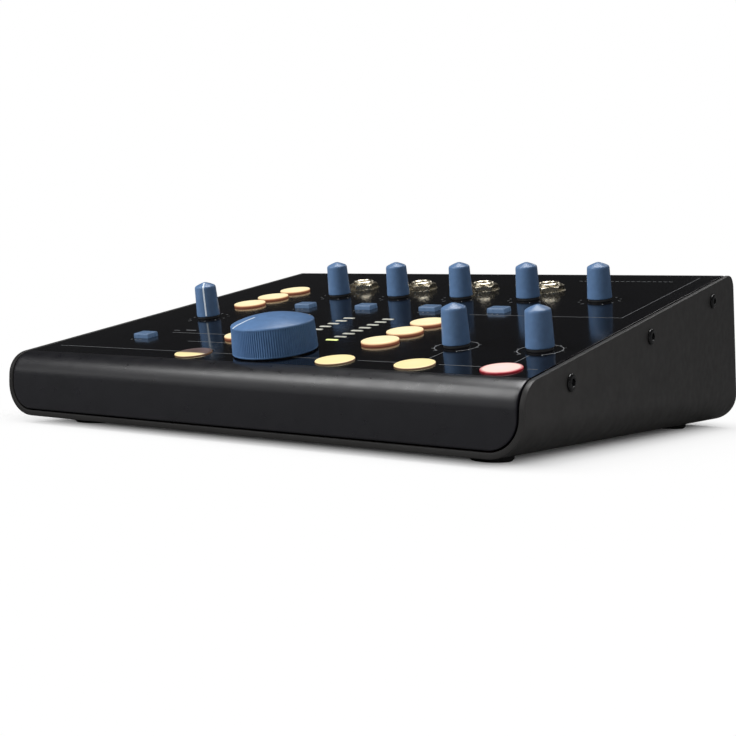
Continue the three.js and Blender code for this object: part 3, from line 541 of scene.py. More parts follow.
def plate(outline, holes, thickness, edge):
    """A flat sheet with holes and rounded edges, its outer face at height 0 and its body below."""
    curve = bpy.data.curves.new("plate", "CURVE")
    curve.dimensions = "2D"
    curve.fill_mode = "BOTH"
    curve.extrude = thickness / 2 - edge
    curve.bevel_depth = edge
    curve.bevel_resolution = 1
    curve.offset = -edge
    for loop in [outline, *holes]:
        spline = curve.splines.new("POLY")
        spline.points.add(len(loop) - 1)
        for point, (x, y) in zip(spline.points, loop):
            point.co = (x, y, 0, 1)
        spline.use_cyclic_u = True
    carrier = bpy.data.objects.new("plate", curve)
    mesh = bpy.data.meshes.new_from_object(carrier)
    bm = bmesh.new()
    bm.from_mesh(mesh)
    bpy.data.objects.remove(carrier)
    bpy.data.curves.remove(curve)
    bpy.data.meshes.remove(mesh)
    bmesh.ops.remove_doubles(bm, verts=bm.verts, dist=MERGE)
    bmesh.ops.translate(bm, verts=bm.verts, vec=(0, 0, -thickness / 2))
    return bm


def folded(bm, across, cuts, fold):
    """Cuts a flat sheet at places along a direction and moves each point to its folded place."""
    direction = Vector(across)
    for cut in cuts:
        bmesh.ops.bisect_plane(bm, geom=[*bm.verts, *bm.edges, *bm.faces], plane_co=direction * cut,
                               plane_no=direction, dist=MERGE)
    for vertex in bm.verts:
        vertex.co = fold(vertex.co.x, vertex.co.y, -vertex.co.z)
    return bm


def joined(*parts):
    whole = bmesh.new()
    for part in parts:
        mesh = bpy.data.meshes.new("part")
        part.to_mesh(mesh)
        part.free()
        whole.from_mesh(mesh)
        bpy.data.meshes.remove(mesh)
    return whole


def moved(bm, matrix):
    bmesh.ops.transform(bm, matrix=matrix, verts=bm.verts)
    return bm


def slab(low, high, edge):
    """A block from low to high corner, its edges rounded."""
    bm = bmesh.new()
    bmesh.ops.create_cube(bm, size=1)
    size = [b - a for a, b in zip(low, high)]
    moved(bm, Matrix.Translation(centre(low, high)) @ Matrix.Diagonal((*size, 1)))
    if edge:
        bmesh.ops.bevel(bm, geom=list(bm.edges), offset=edge, segments=2, affect="EDGES", profile=0.5)
    return bm


# Tray: bottom and both cheeks folded from one sheet
def make_tray():
    flat_half = HALF - BEND
    bend_length = BEND * QUARTER
    cheek_foot = flat_half + bend_length

    def unfolded(z):
        if z >= FOOT + BEND:
            return cheek_foot + z - FOOT - BEND
        return flat_half + BEND * math.acos((FOOT + BEND - z) / BEND)

    bends = [FOOT + BEND * (1 - math.cos(QUARTER * k / BEND_STEPS)) for k in range(BEND_STEPS + 1)]
    side = [(REAR_Y - (z - FOOT) * math.tan(TILT), z) for z in bends]
    side += arc(REAR_CENTRE.y, REAR_CENTRE.z, REAR_ROUND, TILT, QUARTER, ROUND_STEPS)
    side += arc(FRONT_CENTRE.y, FRONT_CENTRE.z, FRONT_ROUND, QUARTER + TILT, QUARTER - TILT, ROUND_STEPS)
    side += [(FRONT_Y, z) for z in reversed(bends)]
    right = [(unfolded(z), y) for y, z in side]
    outline = right + [(-u, y) for u, y in reversed(right)]

    def fold(u, y, depth):
        way = math.copysign(1, u)
        if abs(u) <= flat_half:
            return Vector((u, y, FOOT + depth))
        if abs(u) < cheek_foot:
            turn = (abs(u) - flat_half) / BEND
            return Vector((way * (flat_half + (BEND - depth) * math.sin(turn)), y,
                           FOOT + BEND - (BEND - depth) * math.cos(turn)))
        return Vector((way * (HALF - depth), y, FOOT + BEND + abs(u) - cheek_foot))

    steps = [bend_length * k / BEND_STEPS for k in range(BEND_STEPS + 1)]
    cuts = [way * (flat_half + step) for way in (-1, 1) for step in steps]
    tray = folded(plate(outline, [], SHEET, SHEET_EDGE), (1, 0, 0), cuts, fold)
    mesh = finished_mesh("tray", tray, SHEET_ANGLE)
    piece("chassis_tray_folded", mesh, Matrix(), case_paint, "chassis_tray")


# Holes for everything that comes up through the deck, as loops of x and s
def deck_holes():
    holes = [circle(*places[name], SPINDLE + FIT) for name in ["main_level_knob", *small_knobs]]
    holes += [circle(*places[name], BUTTON + FIT) for name in talk_buttons + select_buttons]
    holes += [rectangle(*places[name], SWITCH_WIDTH + 2 * FIT, SWITCH_LENGTH + 2 * FIT)
              for name in switches]
    holes += [circle(*places[name], JACK_BUSHING + FIT) for name in phone_jacks]
    return holes


# Cover: front face, front rounding, deck sheet with a sunk field, rear rounding and lip
FIELD_NICK = 0.01


def rounding(x, middle, radius, turn):
    """A point at an angle about a middle that has a Y and a Z."""
    return Vector((x, middle.y + radius * math.cos(turn), middle.z + radius * math.sin(turn)))


def make_cover():
    face = DECK_Z - ROUND_TANGENT - SHELL_BOTTOM
    front_turn = QUARTER - TILT
    deck_start = face + FRONT_ROUND * front_turn
    deck_end = deck_start + DECK_LENGTH - REAR_ROUND - ROUND_TANGENT
    rear_end = deck_end + REAR_ROUND * QUARTER
    total = rear_end + REAR_LIP - REAR_ROUND

    def along(s):
        return deck_start + s - ROUND_TANGENT

    meter = rectangle(0, (METER_ROWS[0] + METER_ROWS[-1]) / 2, 2 * METER_SPREAD + BAR_WIDTH + 2 * FIT,
                      METER_ROWS[-1] - METER_ROWS[0] + BAR_LENGTH + 2 * FIT)
    holes = [[(x, along(s)) for x, s in loop] for loop in [*deck_holes(), meter]]

    def fold(x, u, depth):
        if u <= face:
            return Vector((x, FRONT_Y + depth, SHELL_BOTTOM + u))
        if u < deck_start:
            return rounding(x, FRONT_CENTRE, FRONT_ROUND - depth, math.pi - (u - face) / FRONT_ROUND)
        if u <= deck_end:
            s = ROUND_TANGENT + u - deck_start
            inner = depth > SHEET / 2
            sunk = RECESS_START - SHEET * inner < s < RECESS_END + SHEET * inner
            return DECK @ Vector((x, s, -depth - RECESS * sunk))
        if u < rear_end:
            turn = QUARTER + TILT - (u - deck_end) / REAR_ROUND
            return rounding(x, REAR_CENTRE, REAR_ROUND - depth, turn)
        return DECK @ Vector((x, DECK_LENGTH - depth, -REAR_ROUND - (u - rear_end)))

    cuts = [face + FRONT_ROUND * front_turn * k / ROUND_STEPS for k in range(ROUND_STEPS + 1)]
    cuts += [deck_end + REAR_ROUND * QUARTER * k / ROUND_STEPS for k in range(ROUND_STEPS + 1)]
    for step_at, way in ((RECESS_START, -1), (RECESS_END, 1)):
        cuts += [along(step_at + shift) for shift in (
            -FIELD_NICK, FIELD_NICK, way * SHEET - FIELD_NICK, way * SHEET + FIELD_NICK)]
    parts = [folded(plate(shell_outline(0, total), holes, SHEET, SHEET_EDGE), (0, 1, 0), cuts, fold)]
    for low in (-COVER_HALF, COVER_HALF - SHEET):
        parts.append(moved(slab(
            (low, FLANGE_START, -COVER_DROP - FLANGE_DEPTH),
            (low + SHEET, DECK_LENGTH - FLANGE_REAR_INSET, -COVER_DROP), FLANGE_EDGE), DECK))
    mesh = finished_mesh("cover", joined(*parts), SHEET_ANGLE)
    piece("top_cover_folded", mesh, Matrix(), cover_paint, "top_cover")


# Overlay: one polished sheet in the cover's sunk field, with a slot for each light bar
SLOT_CORNER = 0.15


def make_overlay():
    outline = rectangle(
        0, (RECESS_START + RECESS_END) / 2, 2 * COVER_HALF, RECESS_END - RECESS_START - 2 * FIT)
    slots = [rectangle(x, s, BAR_WIDTH + 2 * FIT, BAR_LENGTH + 2 * FIT, SLOT_CORNER)
             for s in METER_ROWS for x in (-METER_SPREAD, METER_SPREAD)]
    sheet = plate(outline, deck_holes() + slots, OVERLAY, OVERLAY_EDGE)
    piece("deck_overlay_sheet", finished_mesh("overlay", sheet), DECK, deck_gloss, "deck_overlay")


# Rear panel: a plate between the cheeks with its socket holes
def make_rear_panel():
    foot = (SHELL_BOTTOM - DECK_Z - DECK_LENGTH * math.sin(TILT)) / math.cos(TILT)
    round_holes = [(name, JACK_BUSHING) for name in rear_pairs] + [("phono_sockets", PHONO)]
    holes = [circle(centre(*deck_box(name))[0], h, radius + FIT)
             for name, radius in round_holes for _, h in SOCKETS]
    x, _, h = centre(*deck_box("power_inlet"))
    holes.append(rectangle(x, h, INLET_WIDTH + 2 * FIT, INLET_HEIGHT + 2 * FIT))
    flat = plate(shell_outline(foot, -REAR_LIP - SEAM), holes, SHEET, SHEET_EDGE)
    panel = folded(flat, (1, 0, 0), [], lambda x, h, depth: DECK @ Vector((x, DECK_LENGTH - depth, h)))
    piece("rear_panel_plate", finished_mesh("rear_panel", panel), Matrix(), cover_paint, "rear_panel")


# Feet: moulded discs with a screw recess in the underside, as radius, height and rounding
FOOT_PROFILE = [(0, FOOT, 0), (7, FOOT, 0.2), (7, 0.8, 0.3), (6.2, 0, 0.2), (3.1, 0, 0.25), (2.9, 1.2, 0),
                (1.0, 1.2, 0), (0, 1.2, 0)]


def make_feet():
    mesh = turned("foot", filleted(FOOT_PROFILE, 3), HOLE_SIDES)
    for name in feet:
        x, y, _ = centre(*node_box(name))
        piece(name + "_rubber", mesh, Matrix.Translation((x, y, 0)), rubber, name)


def hexagon(flats):
    """Radius of a hexagon across its flats, as a function of the angle."""
    def radius(turn):
        sixth = math.pi / 3
        return flats / 2 / math.cos((turn + sixth / 2) % sixth - sixth / 2)
    return radius


# Cheek screws: domed heads with a hexagon socket
SCREW_SOCKET = 2.3
SCREW_SOCKET_RIM = 0.12
SCREW_SOCKET_HEIGHTS = (0.25, 0.28, 1.02, 1.13)
SCREW_HEAD = [(2.0, 1.1), (2.35, 0.98), (2.6, 0.8), (2.75, 0.58), (2.8, 0.4), (2.78, 0.32), (2.7, 0.3)]
SCREW_SHANK = [(1.5, 0.3), (1.5, -5.6), (1.1, -6), (0, -6)]


def make_screws():
    wall = hexagon(SCREW_SOCKET)
    radii = (0, wall, wall, lambda turn: wall(turn) + SCREW_SOCKET_RIM)
    mesh = turned("screw", [*zip(radii, SCREW_SOCKET_HEIGHTS), *SCREW_HEAD, *SCREW_SHANK], MIDDLE_SIDES,
                  TURNED_ANGLE)
    for name in screws:
        _, s, h = centre(*deck_box(name))
        way = 1 if "right" in name else -1
        place = DECK @ Matrix.Translation((way * HALF, s, h)) @ Matrix.Rotation(way * QUARTER, 4, "Y")
        piece(name + "_head", mesh, place, screw_black, name)


def on_deck(name):
    return DECK @ Matrix.Translation((*places[name], 0))


# Knobs whose pointers show turned away from up-slope, in degrees clockwise from above
POINTERS_AT = {"aux_level_knob": 150, "main_level_knob": 210}


def knob_place(name):
    return on_deck(name) @ Matrix.Rotation(-math.radians(POINTERS_AT.get(name, 0)), 4, "Z")


# Black ring under each knob: painted shade that fills the shadowed gap between knob and deck
SHADE_RING_GAP = 0.08
SHADE_RING_ROUND = 0.2
SHADE_RING_FOOT_ROUND = 0.1


def shade_ring(name, inner, outer, top, sides):
    """A black ring in the gap under a knob: painted shade where that gap lies in shadow."""
    profile = filleted([(inner, top, 0), (outer, top, SHADE_RING_ROUND), (outer, SHADE_RING_GAP, SHADE_RING_FOOT_ROUND),
                        (inner, SHADE_RING_GAP, 0), (inner, top, 0)], 3)
    return turned(name, profile, sides, TURNED_ANGLE)


# Sections of a pointer line, as shares of its half width and of its rise
POINTER_SHOULDER = 0.6
POINTER_SINK = 0.15


def pointer(profile, width, lift):
    """A raised line that follows a turned profile outward from the axis, drawn toward up-slope."""
    bm = bmesh.new()
    edge, top, shoulder = width / 2, width / 4, lift * POINTER_SHOULDER
    section = ((-edge, -POINTER_SINK), (-edge, shoulder), (-top, lift), (top, lift), (edge, shoulder),
               (edge, -POINTER_SINK))
    rows = []
    for i, (r, h) in enumerate(profile):
        before, after = profile[max(i - 1, 0)], profile[min(i + 1, len(profile) - 1)]
        along = Vector((after[0] - before[0], after[1] - before[1])).normalized()
        out = Vector((-along.y, along.x))
        rows.append([bm.verts.new((x, math.sqrt(max(r * r - x * x, 0)) + out.x * rise, h + out.y * rise))
                     for x, rise in section])
    return capped(bm, rows)


def capped(bm, rows):
    """Joins rows of points into a bar with an end face on both ends."""
    for a, b in zip(rows, rows[1:]):
        for k in range(len(a)):
            n = (k + 1) % len(a)
            bm.faces.new((a[k], a[n], b[n], b[k]))
    bm.faces.new(rows[0])
    bm.faces.new(list(reversed(rows[-1])))
    return bm


# Small knobs: tapered caps with a conical top, hollow at the foot round their spindle, over a black ring of
# painted shade in the gap beneath them
KNOB_WALL = 1.1
KNOB_DRAFT = 0.1
KNOB_HOLLOW = 2.0
KNOB_POINTER_START = 0.9
KNOB_POINTER_FOOT = 0.3
KNOB_POINTER = (0.6, 0.04)
# The black ring of painted shade under a small knob: its inset, and how it clears the spindle and the cap
KNOB_SHADE_RING_INSET = 0.35
SHADE_RING_INNER_FIT = 0.02
SHADE_RING_TOP_FIT = 0.05

# Crown of a small knob, as shares of its top radius with drops, and its foot, as insets with rises
KNOB_CROWN = ((0.07, 0.01), (0.14, 0.06), (0.24, 0.19), (0.36, 0.37), (0.5, 0.6), (0.65, 0.87), (0.78, 1.13),
              (0.87, 1.34), (0.925, 1.5), (0.96, 1.68), (0.985, 1.95), (1.0, 2.4))
KNOB_FOOT = ((0.03, 0.45), (0.02, 0.2), (0.1, 0.05), (0.25, 0))


def make_small_knobs():
    skin = [(0, KNOB_HEIGHT)]
    skin += [(KNOB_TOP * share, KNOB_HEIGHT - drop) for share, drop in KNOB_CROWN]
    skin += [(KNOB_BASE - inset, KNOB_SKIRT + rise) for inset, rise in KNOB_FOOT]
    hollow = KNOB_LIFT + KNOB_HOLLOW
    inside = [(KNOB_BASE - KNOB_WALL, KNOB_SKIRT), (KNOB_BASE - KNOB_WALL - KNOB_DRAFT, hollow),
              (SPINDLE, hollow), (SPINDLE, -SPINDLE_DEPTH), (0, -SPINDLE_DEPTH)]
    mesh = turned("small_knob", skin + inside, FINE_SIDES, CAP_ANGLE)
    line = [(r, h) for r, h in skin if r > KNOB_POINTER_START and h > KNOB_SKIRT + KNOB_POINTER_FOOT]
    mark = finished_mesh("small_pointer", pointer(line, *KNOB_POINTER))
    # A black ring under the knob, painted shade in the gap
    ring = shade_ring("small_collar", SPINDLE + SHADE_RING_INNER_FIT, KNOB_BASE - KNOB_SHADE_RING_INSET,
                  KNOB_SKIRT - SHADE_RING_TOP_FIT, MIDDLE_SIDES)
    for name in small_knobs:
        body = name.replace("_knob", "")
        place = knob_place(name)
        piece(name + "_cap", mesh, place, knob_blue, name, body)
        piece(name + "_pointer", mark, place, pointer_white, body=body)
        piece(name + "_collar", ring, place, black_plastic, body=body)


# Main knob: shallow domed top, bevelled rim and finely ribbed side
RIBS = 112
RIB_DEPTH = 0.28
RIB_SAMPLES = 6
RIB_POWER = 1.5
MAIN_CROWN_STEPS = 16
MAIN_CROWN_SHARE = 0.97
MAIN_CROWN_POWER = 2.1
MAIN_CROWN_EDGE = 0.1
MAIN_HOLLOW = [(12.9, MAIN_SKIRT), (12.6, 7.4), (5.6, 7.7), (5.3, 1.6), (3.4, 1.6), (3.3, 6.5), (0, 6.5)]
MAIN_POINTER_START = 6
MAIN_POINTER = (0.75, 0.05)
# Inner and outer radius of the black ring of painted shade under the main knob
MAIN_SHADE_RING = (5.8, 13.7)

# Its edge, as insets and drops from the rim, and its side, as radii, heights and shares of the ribs' depth
MAIN_EDGE = ((0.42, -0.02), (0.2, 0.12), (0.02, 0.4))
MAIN_SIDE = ((MAIN_TOP, MAIN_RIM - 0.6, 0.0), (MAIN_TOP + 0.01, MAIN_RIM - 0.9, 1.0), (14.5, 6.0, 1.0),
             (14.68, 1.2, 1.0), (14.7, 0.95, 0.0), (14.68, 0.7, 0.0), (14.5, MAIN_SKIRT, 0.0))


def make_main_knob():
    def ribbed(radius, share):
        return lambda turn: radius - RIB_DEPTH * share * (0.5 - 0.5 * math.cos(RIBS * turn)) ** RIB_POWER

    steps = [step / MAIN_CROWN_STEPS for step in range(MAIN_CROWN_STEPS)]
    skin = [(MAIN_TOP * (MAIN_CROWN_SHARE * step),
             MAIN_RIM + MAIN_CROWN_EDGE + (MAIN_CROWN - MAIN_RIM) * (1 - step ** MAIN_CROWN_POWER))
            for step in steps]
    skin += [(MAIN_TOP - inset, MAIN_RIM - drop) for inset, drop in MAIN_EDGE]
    side = [(ribbed(r, share) if share else r, h) for r, h, share in MAIN_SIDE]
    mesh = turned("main_knob", skin + side + MAIN_HOLLOW, RIBS * RIB_SAMPLES, CAP_ANGLE)
    place = knob_place("main_level_knob")
    piece("main_level_knob_cap", mesh, place, main_blue, "main_level_knob", "main_level")
    mark = finished_mesh("main_pointer", pointer(
        [(r, h) for r, h in skin if r > MAIN_POINTER_START], *MAIN_POINTER))
    piece("main_level_pointer", mark, place, pointer_white, body="main_level")
    # A black ring under the main knob, painted shade in the gap
    ring = shade_ring("main_collar", *MAIN_SHADE_RING, MAIN_SKIRT - SHADE_RING_TOP_FIT, FINE_SIDES)
    piece("main_level_collar", ring, place, black_plastic, body="main_level")


# Round buttons: softly crowned caps, their holding rim and stem
TALK_DOME = 0.15
SELECT_DOME = 0.45
DOME_AT = 4.5
DOME_SHARE = 0.55
DOME_ROUND = 2.5
CAP_EDGE_DROP = 0.07
CAP_ROUND = 0.3
RIM_CREASE = 0.1
RIM_ROUND = 0.15
RIM_WIDTH = 1.0
RIM_THICKNESS = 1.4
RIM_FOOT = RIM_TOP - RIM_THICKNESS
BUTTON_STEM = 2.0
BUTTON_STEM_FOOT = -9.9


def make_buttons():
    own = {"mute_button": button_red, "mono_button": button_mono}
    for names, proud, dome, shared in ((talk_buttons, TALK_PROUD, TALK_DOME, button_talk),
                                       (select_buttons, BUTTON_PROUD, SELECT_DOME, button_select)):
        skin = filleted([
            (0, proud + dome, 0), (DOME_AT, proud + dome * DOME_SHARE, DOME_ROUND),
            (BUTTON, proud - CAP_EDGE_DROP, CAP_ROUND), (BUTTON, RIM_TOP, RIM_CREASE),
            (BUTTON + RIM_WIDTH, RIM_TOP, RIM_ROUND), (BUTTON + RIM_WIDTH, RIM_FOOT, RIM_ROUND)], 5)
        stem = [(BUTTON_STEM, RIM_FOOT), (BUTTON_STEM, BUTTON_STEM_FOOT), (0, BUTTON_STEM_FOOT)]
        mesh = turned(f"button_{proud}", skin + stem, FINE_SIDES, CAP_ANGLE)
        for name in names:
            cap = mesh
            if name in own:
                cap = mesh.copy()
                cap.materials.clear()
            piece(name + "_cap", cap, on_deck(name), own.get(name, shared), name, name)


def lofted(sections):
    """Joins rectangles with rounded corners, given as width, length, corner and height, from the top down."""
    bm = bmesh.new()
    rings = [[bm.verts.new((x, y, height)) for x, y in rectangle(0, 0, width, length, corner)]
             for width, length, corner, height in sections]
    skinned(bm, rings)
    bm.faces.new(rings[0])
    bm.faces.new(list(reversed(rings[-1])))
    return bm


# Push switches: moulded caps with crisp edges and a slightly dished top
SWITCH_CORNER = 0.35
SWITCH_RIM_CORNER = 0.4
SWITCH_STEM = (3, 3, 0.2)
SWITCH_STEM_FOOT = -9.4

# Top of a switch, as insets of its width and length, corners, and drops
SWITCH_CROWN = ((2.4, 2.0, 0.5, 0.08), (1.3, 1.2, 0.5, 0.03), (0.75, 0.75, 0.4, 0), (0.5, 0.5, 0.35, 0.03),
                (0.28, 0.28, 0.35, 0.13), (0.14, 0.14, 0.35, 0.3), (0.1, 0.1, 0.35, 0.5))


def make_switches():
    cap = (SWITCH_WIDTH, SWITCH_LENGTH, SWITCH_CORNER)
    rim = (SWITCH_WIDTH + 2 * RIM_WIDTH, SWITCH_LENGTH + 2 * RIM_WIDTH, SWITCH_RIM_CORNER)
    sections = [(SWITCH_WIDTH - across, SWITCH_LENGTH - along, corner, SWITCH_PROUD - drop)
                for across, along, corner, drop in SWITCH_CROWN]
    sections += [(*cap, 0.0), (*cap, RIM_TOP), (*rim, RIM_TOP), (*rim, RIM_FOOT), (*SWITCH_STEM, RIM_FOOT),
                 (*SWITCH_STEM, SWITCH_STEM_FOOT)]
    mesh = finished_mesh("switch_cap", lofted(sections), SWITCH_ANGLE)
    for name in switches:
        piece(name + "_moulded", mesh, on_deck(name), switch_blue, name, name.replace("_cap", ""))


# Level meter: light bars with domed tops on one carrier, the first one on the right lit
METER_CARRIER = 2.4

# Top of a light bar, as insets of its width and length, corners, and drops
BAR_CROWN = ((0.7, 0.5, 0.3, 0), (0.2, 0.15, 0.4, 0.05), (0, 0, 0.4, 0.22))


def make_meter():
    unlit = [slab((*meter_low.xy, RIM_TOP - METER_CARRIER), (*meter_high.xy, RIM_TOP), BLOCK_EDGE)]
    sections = [(BAR_WIDTH - across, BAR_LENGTH - along, corner, BAR_PROUD - drop)
                for across, along, corner, drop in BAR_CROWN]
    sections.append((BAR_WIDTH, BAR_LENGTH, BAR_CROWN[-1][2], RIM_TOP))
    for row, s in enumerate(METER_ROWS):
        for x in (-METER_SPREAD, METER_SPREAD):
            bar = moved(lofted(sections), Matrix.Translation((x, s, 0)))
            if row == 0 and x > 0:
                mesh = finished_mesh("lit_bar", bar)
                piece("level_meter_lit_bar", mesh, DECK, meter_lit, "level_meter_bars")
            else:
                unlit.append(bar)
    bars = finished_mesh("meter", joined(*unlit))
    piece("level_meter_light_bars", bars, DECK, meter_lens, "level_meter_bars")


# Jack sockets: chamfered nut and washer on a threaded bushing with a rounded mouth
NUT_BEVEL = math.tan(math.radians(30))
NUT_CHAMFER = 0.3
NUT_LAND = 0.1
NUT_EDGE = 0.02
NUT_EDGE_DROP = 0.08
NUT_FOOT_RISE = 0.05
NUT_FOOT_SHARE = 0.4
WASHER_INNER = JACK_BUSHING + 0.05
WASHER = [(WASHER_INNER, 0.28), (6.6, 0.28), (6.75, 0.2), (6.75, 0.05), (WASHER_INNER, 0.05),
          (WASHER_INNER, 0.28)]
MOUTH = ((0.0, 0.45), (0.4, 0.05), (0.7, 0.0))
MOUTH_EDGE = (0.3, 0.08)
THREAD_START = 0.35
THREAD_STOP = 0.6
THREAD_PITCH = 0.5
THREAD = ((0.0, 0.0), (0.0, 0.12), (0.2, 0.3))
BUSHING_WALL = 0.4
BORE_FLOOR = 2.5
BORE_FLOOR_THICKNESS = 0.1
SPRING_LOW = (-0.6, JACK_BORE - 1.3, -12)
SPRING_HIGH = (0.6, JACK_BORE - 0.2, -8)


def jack_nut():
    flat = JACK_FLATS / 2
    radius = hexagon(JACK_FLATS)
    foot, top = FIT, FIT + JACK_NUT

    def sloped(height, share):
        return lambda turn: height + (radius(turn) - flat + NUT_EDGE) * NUT_BEVEL * share

    profile = [
        (JACK_BUSHING + NUT_EDGE, top - NUT_CHAMFER), (JACK_BUSHING + NUT_CHAMFER, top),
        (flat - NUT_LAND, top), (lambda turn: radius(turn) - NUT_EDGE, sloped(top, -1)),
        (radius, sloped(top - NUT_EDGE_DROP, -1)),
        (radius, sloped(foot + NUT_FOOT_RISE, NUT_FOOT_SHARE)), (flat - NUT_LAND, foot),
        (JACK_BUSHING + NUT_EDGE, foot), (JACK_BUSHING + NUT_EDGE, top - NUT_CHAMFER)]
    return lathe(profile, FINE_SIDES)


def jack_bushing(foot):
    profile = [(JACK_BORE, BORE_FLOOR - JACK_DEPTH)]
    profile += [(JACK_BORE + out, JACK_PROUD - drop) for out, drop in MOUTH]
    profile.append((JACK_BUSHING - MOUTH_EDGE[0], JACK_PROUD - MOUTH_EDGE[1]))
    h = JACK_PROUD - THREAD_START
    while h > foot + THREAD_STOP:
        profile += [(JACK_BUSHING - cut, h - drop) for cut, drop in THREAD]
        h -= THREAD_PITCH
    floor_foot = BORE_FLOOR - JACK_DEPTH - BORE_FLOOR_THICKNESS
    wall = JACK_BORE + BUSHING_WALL
    profile += [(JACK_BUSHING, foot), (wall, foot), (wall, floor_foot), (0, floor_foot)]
    return lathe(profile, MIDDLE_SIDES)


def jack_spring():
    """Contact spring seen deep in the bore."""
    return slab(SPRING_LOW, SPRING_HIGH, BLOCK_EDGE)


def make_phone_jacks():
    parts = (jack_nut(), lathe(WASHER, FINE_SIDES), jack_bushing(RIM_TOP), jack_spring())
    bright = finished_mesh("jack_front", joined(*parts), TURNED_ANGLE)
    half, bore = JACK_BODY / 2, JACK_BUSHING
    walls = (((-half, -half), (half, -bore), BLOCK_EDGE), ((-half, bore), (half, half), BLOCK_EDGE),
             ((-half, -bore), (-bore, bore), 0), ((bore, -bore), (half, bore), 0))
    dark = joined(*[slab((*low, -JACK_DEPTH), (*high, RIM_TOP), edge) for low, high, edge in walls])
    body = finished_mesh("jack_body", dark, TURNED_ANGLE)
    for name in phone_jacks:
        piece(name + "_front", bright, on_deck(name), jack_metal, name)
        piece(name + "_body", body, on_deck(name), black_plastic, name)


def rear_place(x, h):
    """A place at the rear whose Z points straight out of the panel."""
    return DECK @ Matrix.Translation((x, DECK_LENGTH, h)) @ Matrix.Rotation(-QUARTER, 4, "X")


def make_rear_sockets():
    nut = joined(jack_nut(), lathe(WASHER, FINE_SIDES))
    bright = finished_mesh("rear_nut", nut, TURNED_ANGLE)
    bushing = joined(jack_bushing(-SHEET - 2 * FIT), jack_spring())
    sleeve = finished_mesh("rear_bushing", bushing, TURNED_ANGLE)
    bore = JACK_BUSHING
    for name in rear_pairs:
        low, high = deck_box(name)
        x = centre(low, high)[0]
        half = (high.x - low.x) / 2
        walls = (((-half, low.z), (-bore, high.z)), ((bore, low.z), (half, high.z)),
                 ((-bore, low.z), (bore, LOWER_SOCKET - bore)),
                 ((-bore, LOWER_SOCKET + bore), (bore, UPPER_SOCKET - bore)),
                 ((-bore, UPPER_SOCKET + bore), (bore, high.z)))
        body = joined(*[slab((a[0], low.y, a[1]), (b[0], SOCKET_FACE, b[1]), 0) for a, b in walls])
        piece(name + "_body", finished_mesh("rear_body", body), DECK @ Matrix.Translation((x, 0, 0)),
              black_plastic, name)
        for word, h in SOCKETS:
            piece(f"{name}_{word}_nut", bright, rear_place(x, h), jack_metal, name)
            piece(f"{name}_{word}_bushing", sleeve, rear_place(x, h), black_plastic, name)


# Phono sockets: a flanged barrel, as radius, height and rounding, with a ring inside its mouth
PHONO_BORE = 1.7
PHONO_MOUTH = 2.9
PHONO_MOUTH_DEPTH = 1.2
PHONO_FLANGE = 1.2
PHONO_BODY_EDGE = 0.4
PHONO_LIP_ROUND = 0.3
PHONO_ROUND = 0.2
PHONO_CREASE = 0.1
PHONO_FLANGE_HEIGHTS = (0.8, 0.1)
PHONO_NECK = PHONO - 0.05
PHONO_NECK_FOOT = -2.2
RING_FIT = 0.05
RING_RISE = 0.6


def make_phono_sockets():
    low, high = deck_box("phono_sockets")
    x = centre(low, high)[0]
    body = slab(low, (high.x, SOCKET_FACE, high.z), PHONO_BODY_EDGE)
    piece("phono_sockets_body", finished_mesh("phono_body", body), DECK, black_plastic, "phono_sockets")
    mouth = PHONO_PROUD - PHONO_MOUTH_DEPTH
    flange_top, flange_foot = PHONO_FLANGE_HEIGHTS
    rim = PHONO + PHONO_FLANGE
    barrel = filleted([
        (PHONO_BORE, 0, 0), (PHONO_BORE, mouth, 0), (PHONO_MOUTH, mouth, 0),
        (PHONO_MOUTH, PHONO_PROUD, PHONO_ROUND), (PHONO, PHONO_PROUD, PHONO_LIP_ROUND),
        (PHONO, flange_top, PHONO_CREASE), (rim, flange_top, PHONO_ROUND), (rim, flange_foot, PHONO_CREASE),
        (PHONO_NECK, flange_foot, 0), (PHONO_NECK, PHONO_NECK_FOOT, 0), (PHONO_BORE, PHONO_NECK_FOOT, 0),
        (PHONO_BORE, 0, 0)], 3)
    mesh = turned("phono_barrel", barrel, MIDDLE_SIDES, TURNED_ANGLE)
    inner, outer = PHONO_BORE + RING_FIT, PHONO_MOUTH - RING_FIT
    foot, top = mouth - RING_FIT, PHONO_PROUD - RING_RISE
    mouth_ring = [(inner, foot), (inner, top), (outer, top), (outer, foot), (inner, foot)]
    ring = turned("phono_ring", mouth_ring, SMALL_SIDES, TURNED_ANGLE)
    for word, h in SOCKETS:
        piece(f"phono_{word}_barrel", mesh, rear_place(x, h), jack_metal, "phono_sockets")
        piece(f"phono_{word}_ring", ring, rear_place(x, h), black_plastic, "phono_sockets")


# Power inlet: a shell with a round well and a rounded pin in it
INLET_WELL = 3.0
INLET_CORNER = 0.8
INLET_EDGE = 0.25
INLET_PIN = 1.0
INLET_PIN_SINK = 0.2
INLET_PIN_ROUND = 0.4
INLET_FLOOR = 0.5


def make_power_inlet():
    low, high = deck_box("power_inlet")
    x, _, h = centre(low, high)
    proud = high.y - DECK_LENGTH
    depth = high.y - low.y
    outline = rectangle(0, 0, high.x - low.x, high.z - low.z, INLET_CORNER)
    shell = plate(outline, [circle(0, 0, INLET_WELL)], depth, INLET_EDGE)
    moved(shell, Matrix.Translation((0, 0, proud)))
    pin_foot = proud - depth + INLET_FLOOR
    pin = filleted([(0, -INLET_PIN_SINK, 0), (INLET_PIN, -INLET_PIN_SINK, INLET_PIN_ROUND),
                    (INLET_PIN, pin_foot, 0), (0, pin_foot, 0)])
    place = rear_place(x, h)
    well = finished_mesh("inlet", shell, TURNED_ANGLE)
    piece("power_inlet_shell", well, place, black_plastic, "power_inlet")
    mesh = turned("inlet_pin", pin, SMALL_SIDES, TURNED_ANGLE)
    piece("power_inlet_pin", mesh, place, jack_metal, "power_inlet")


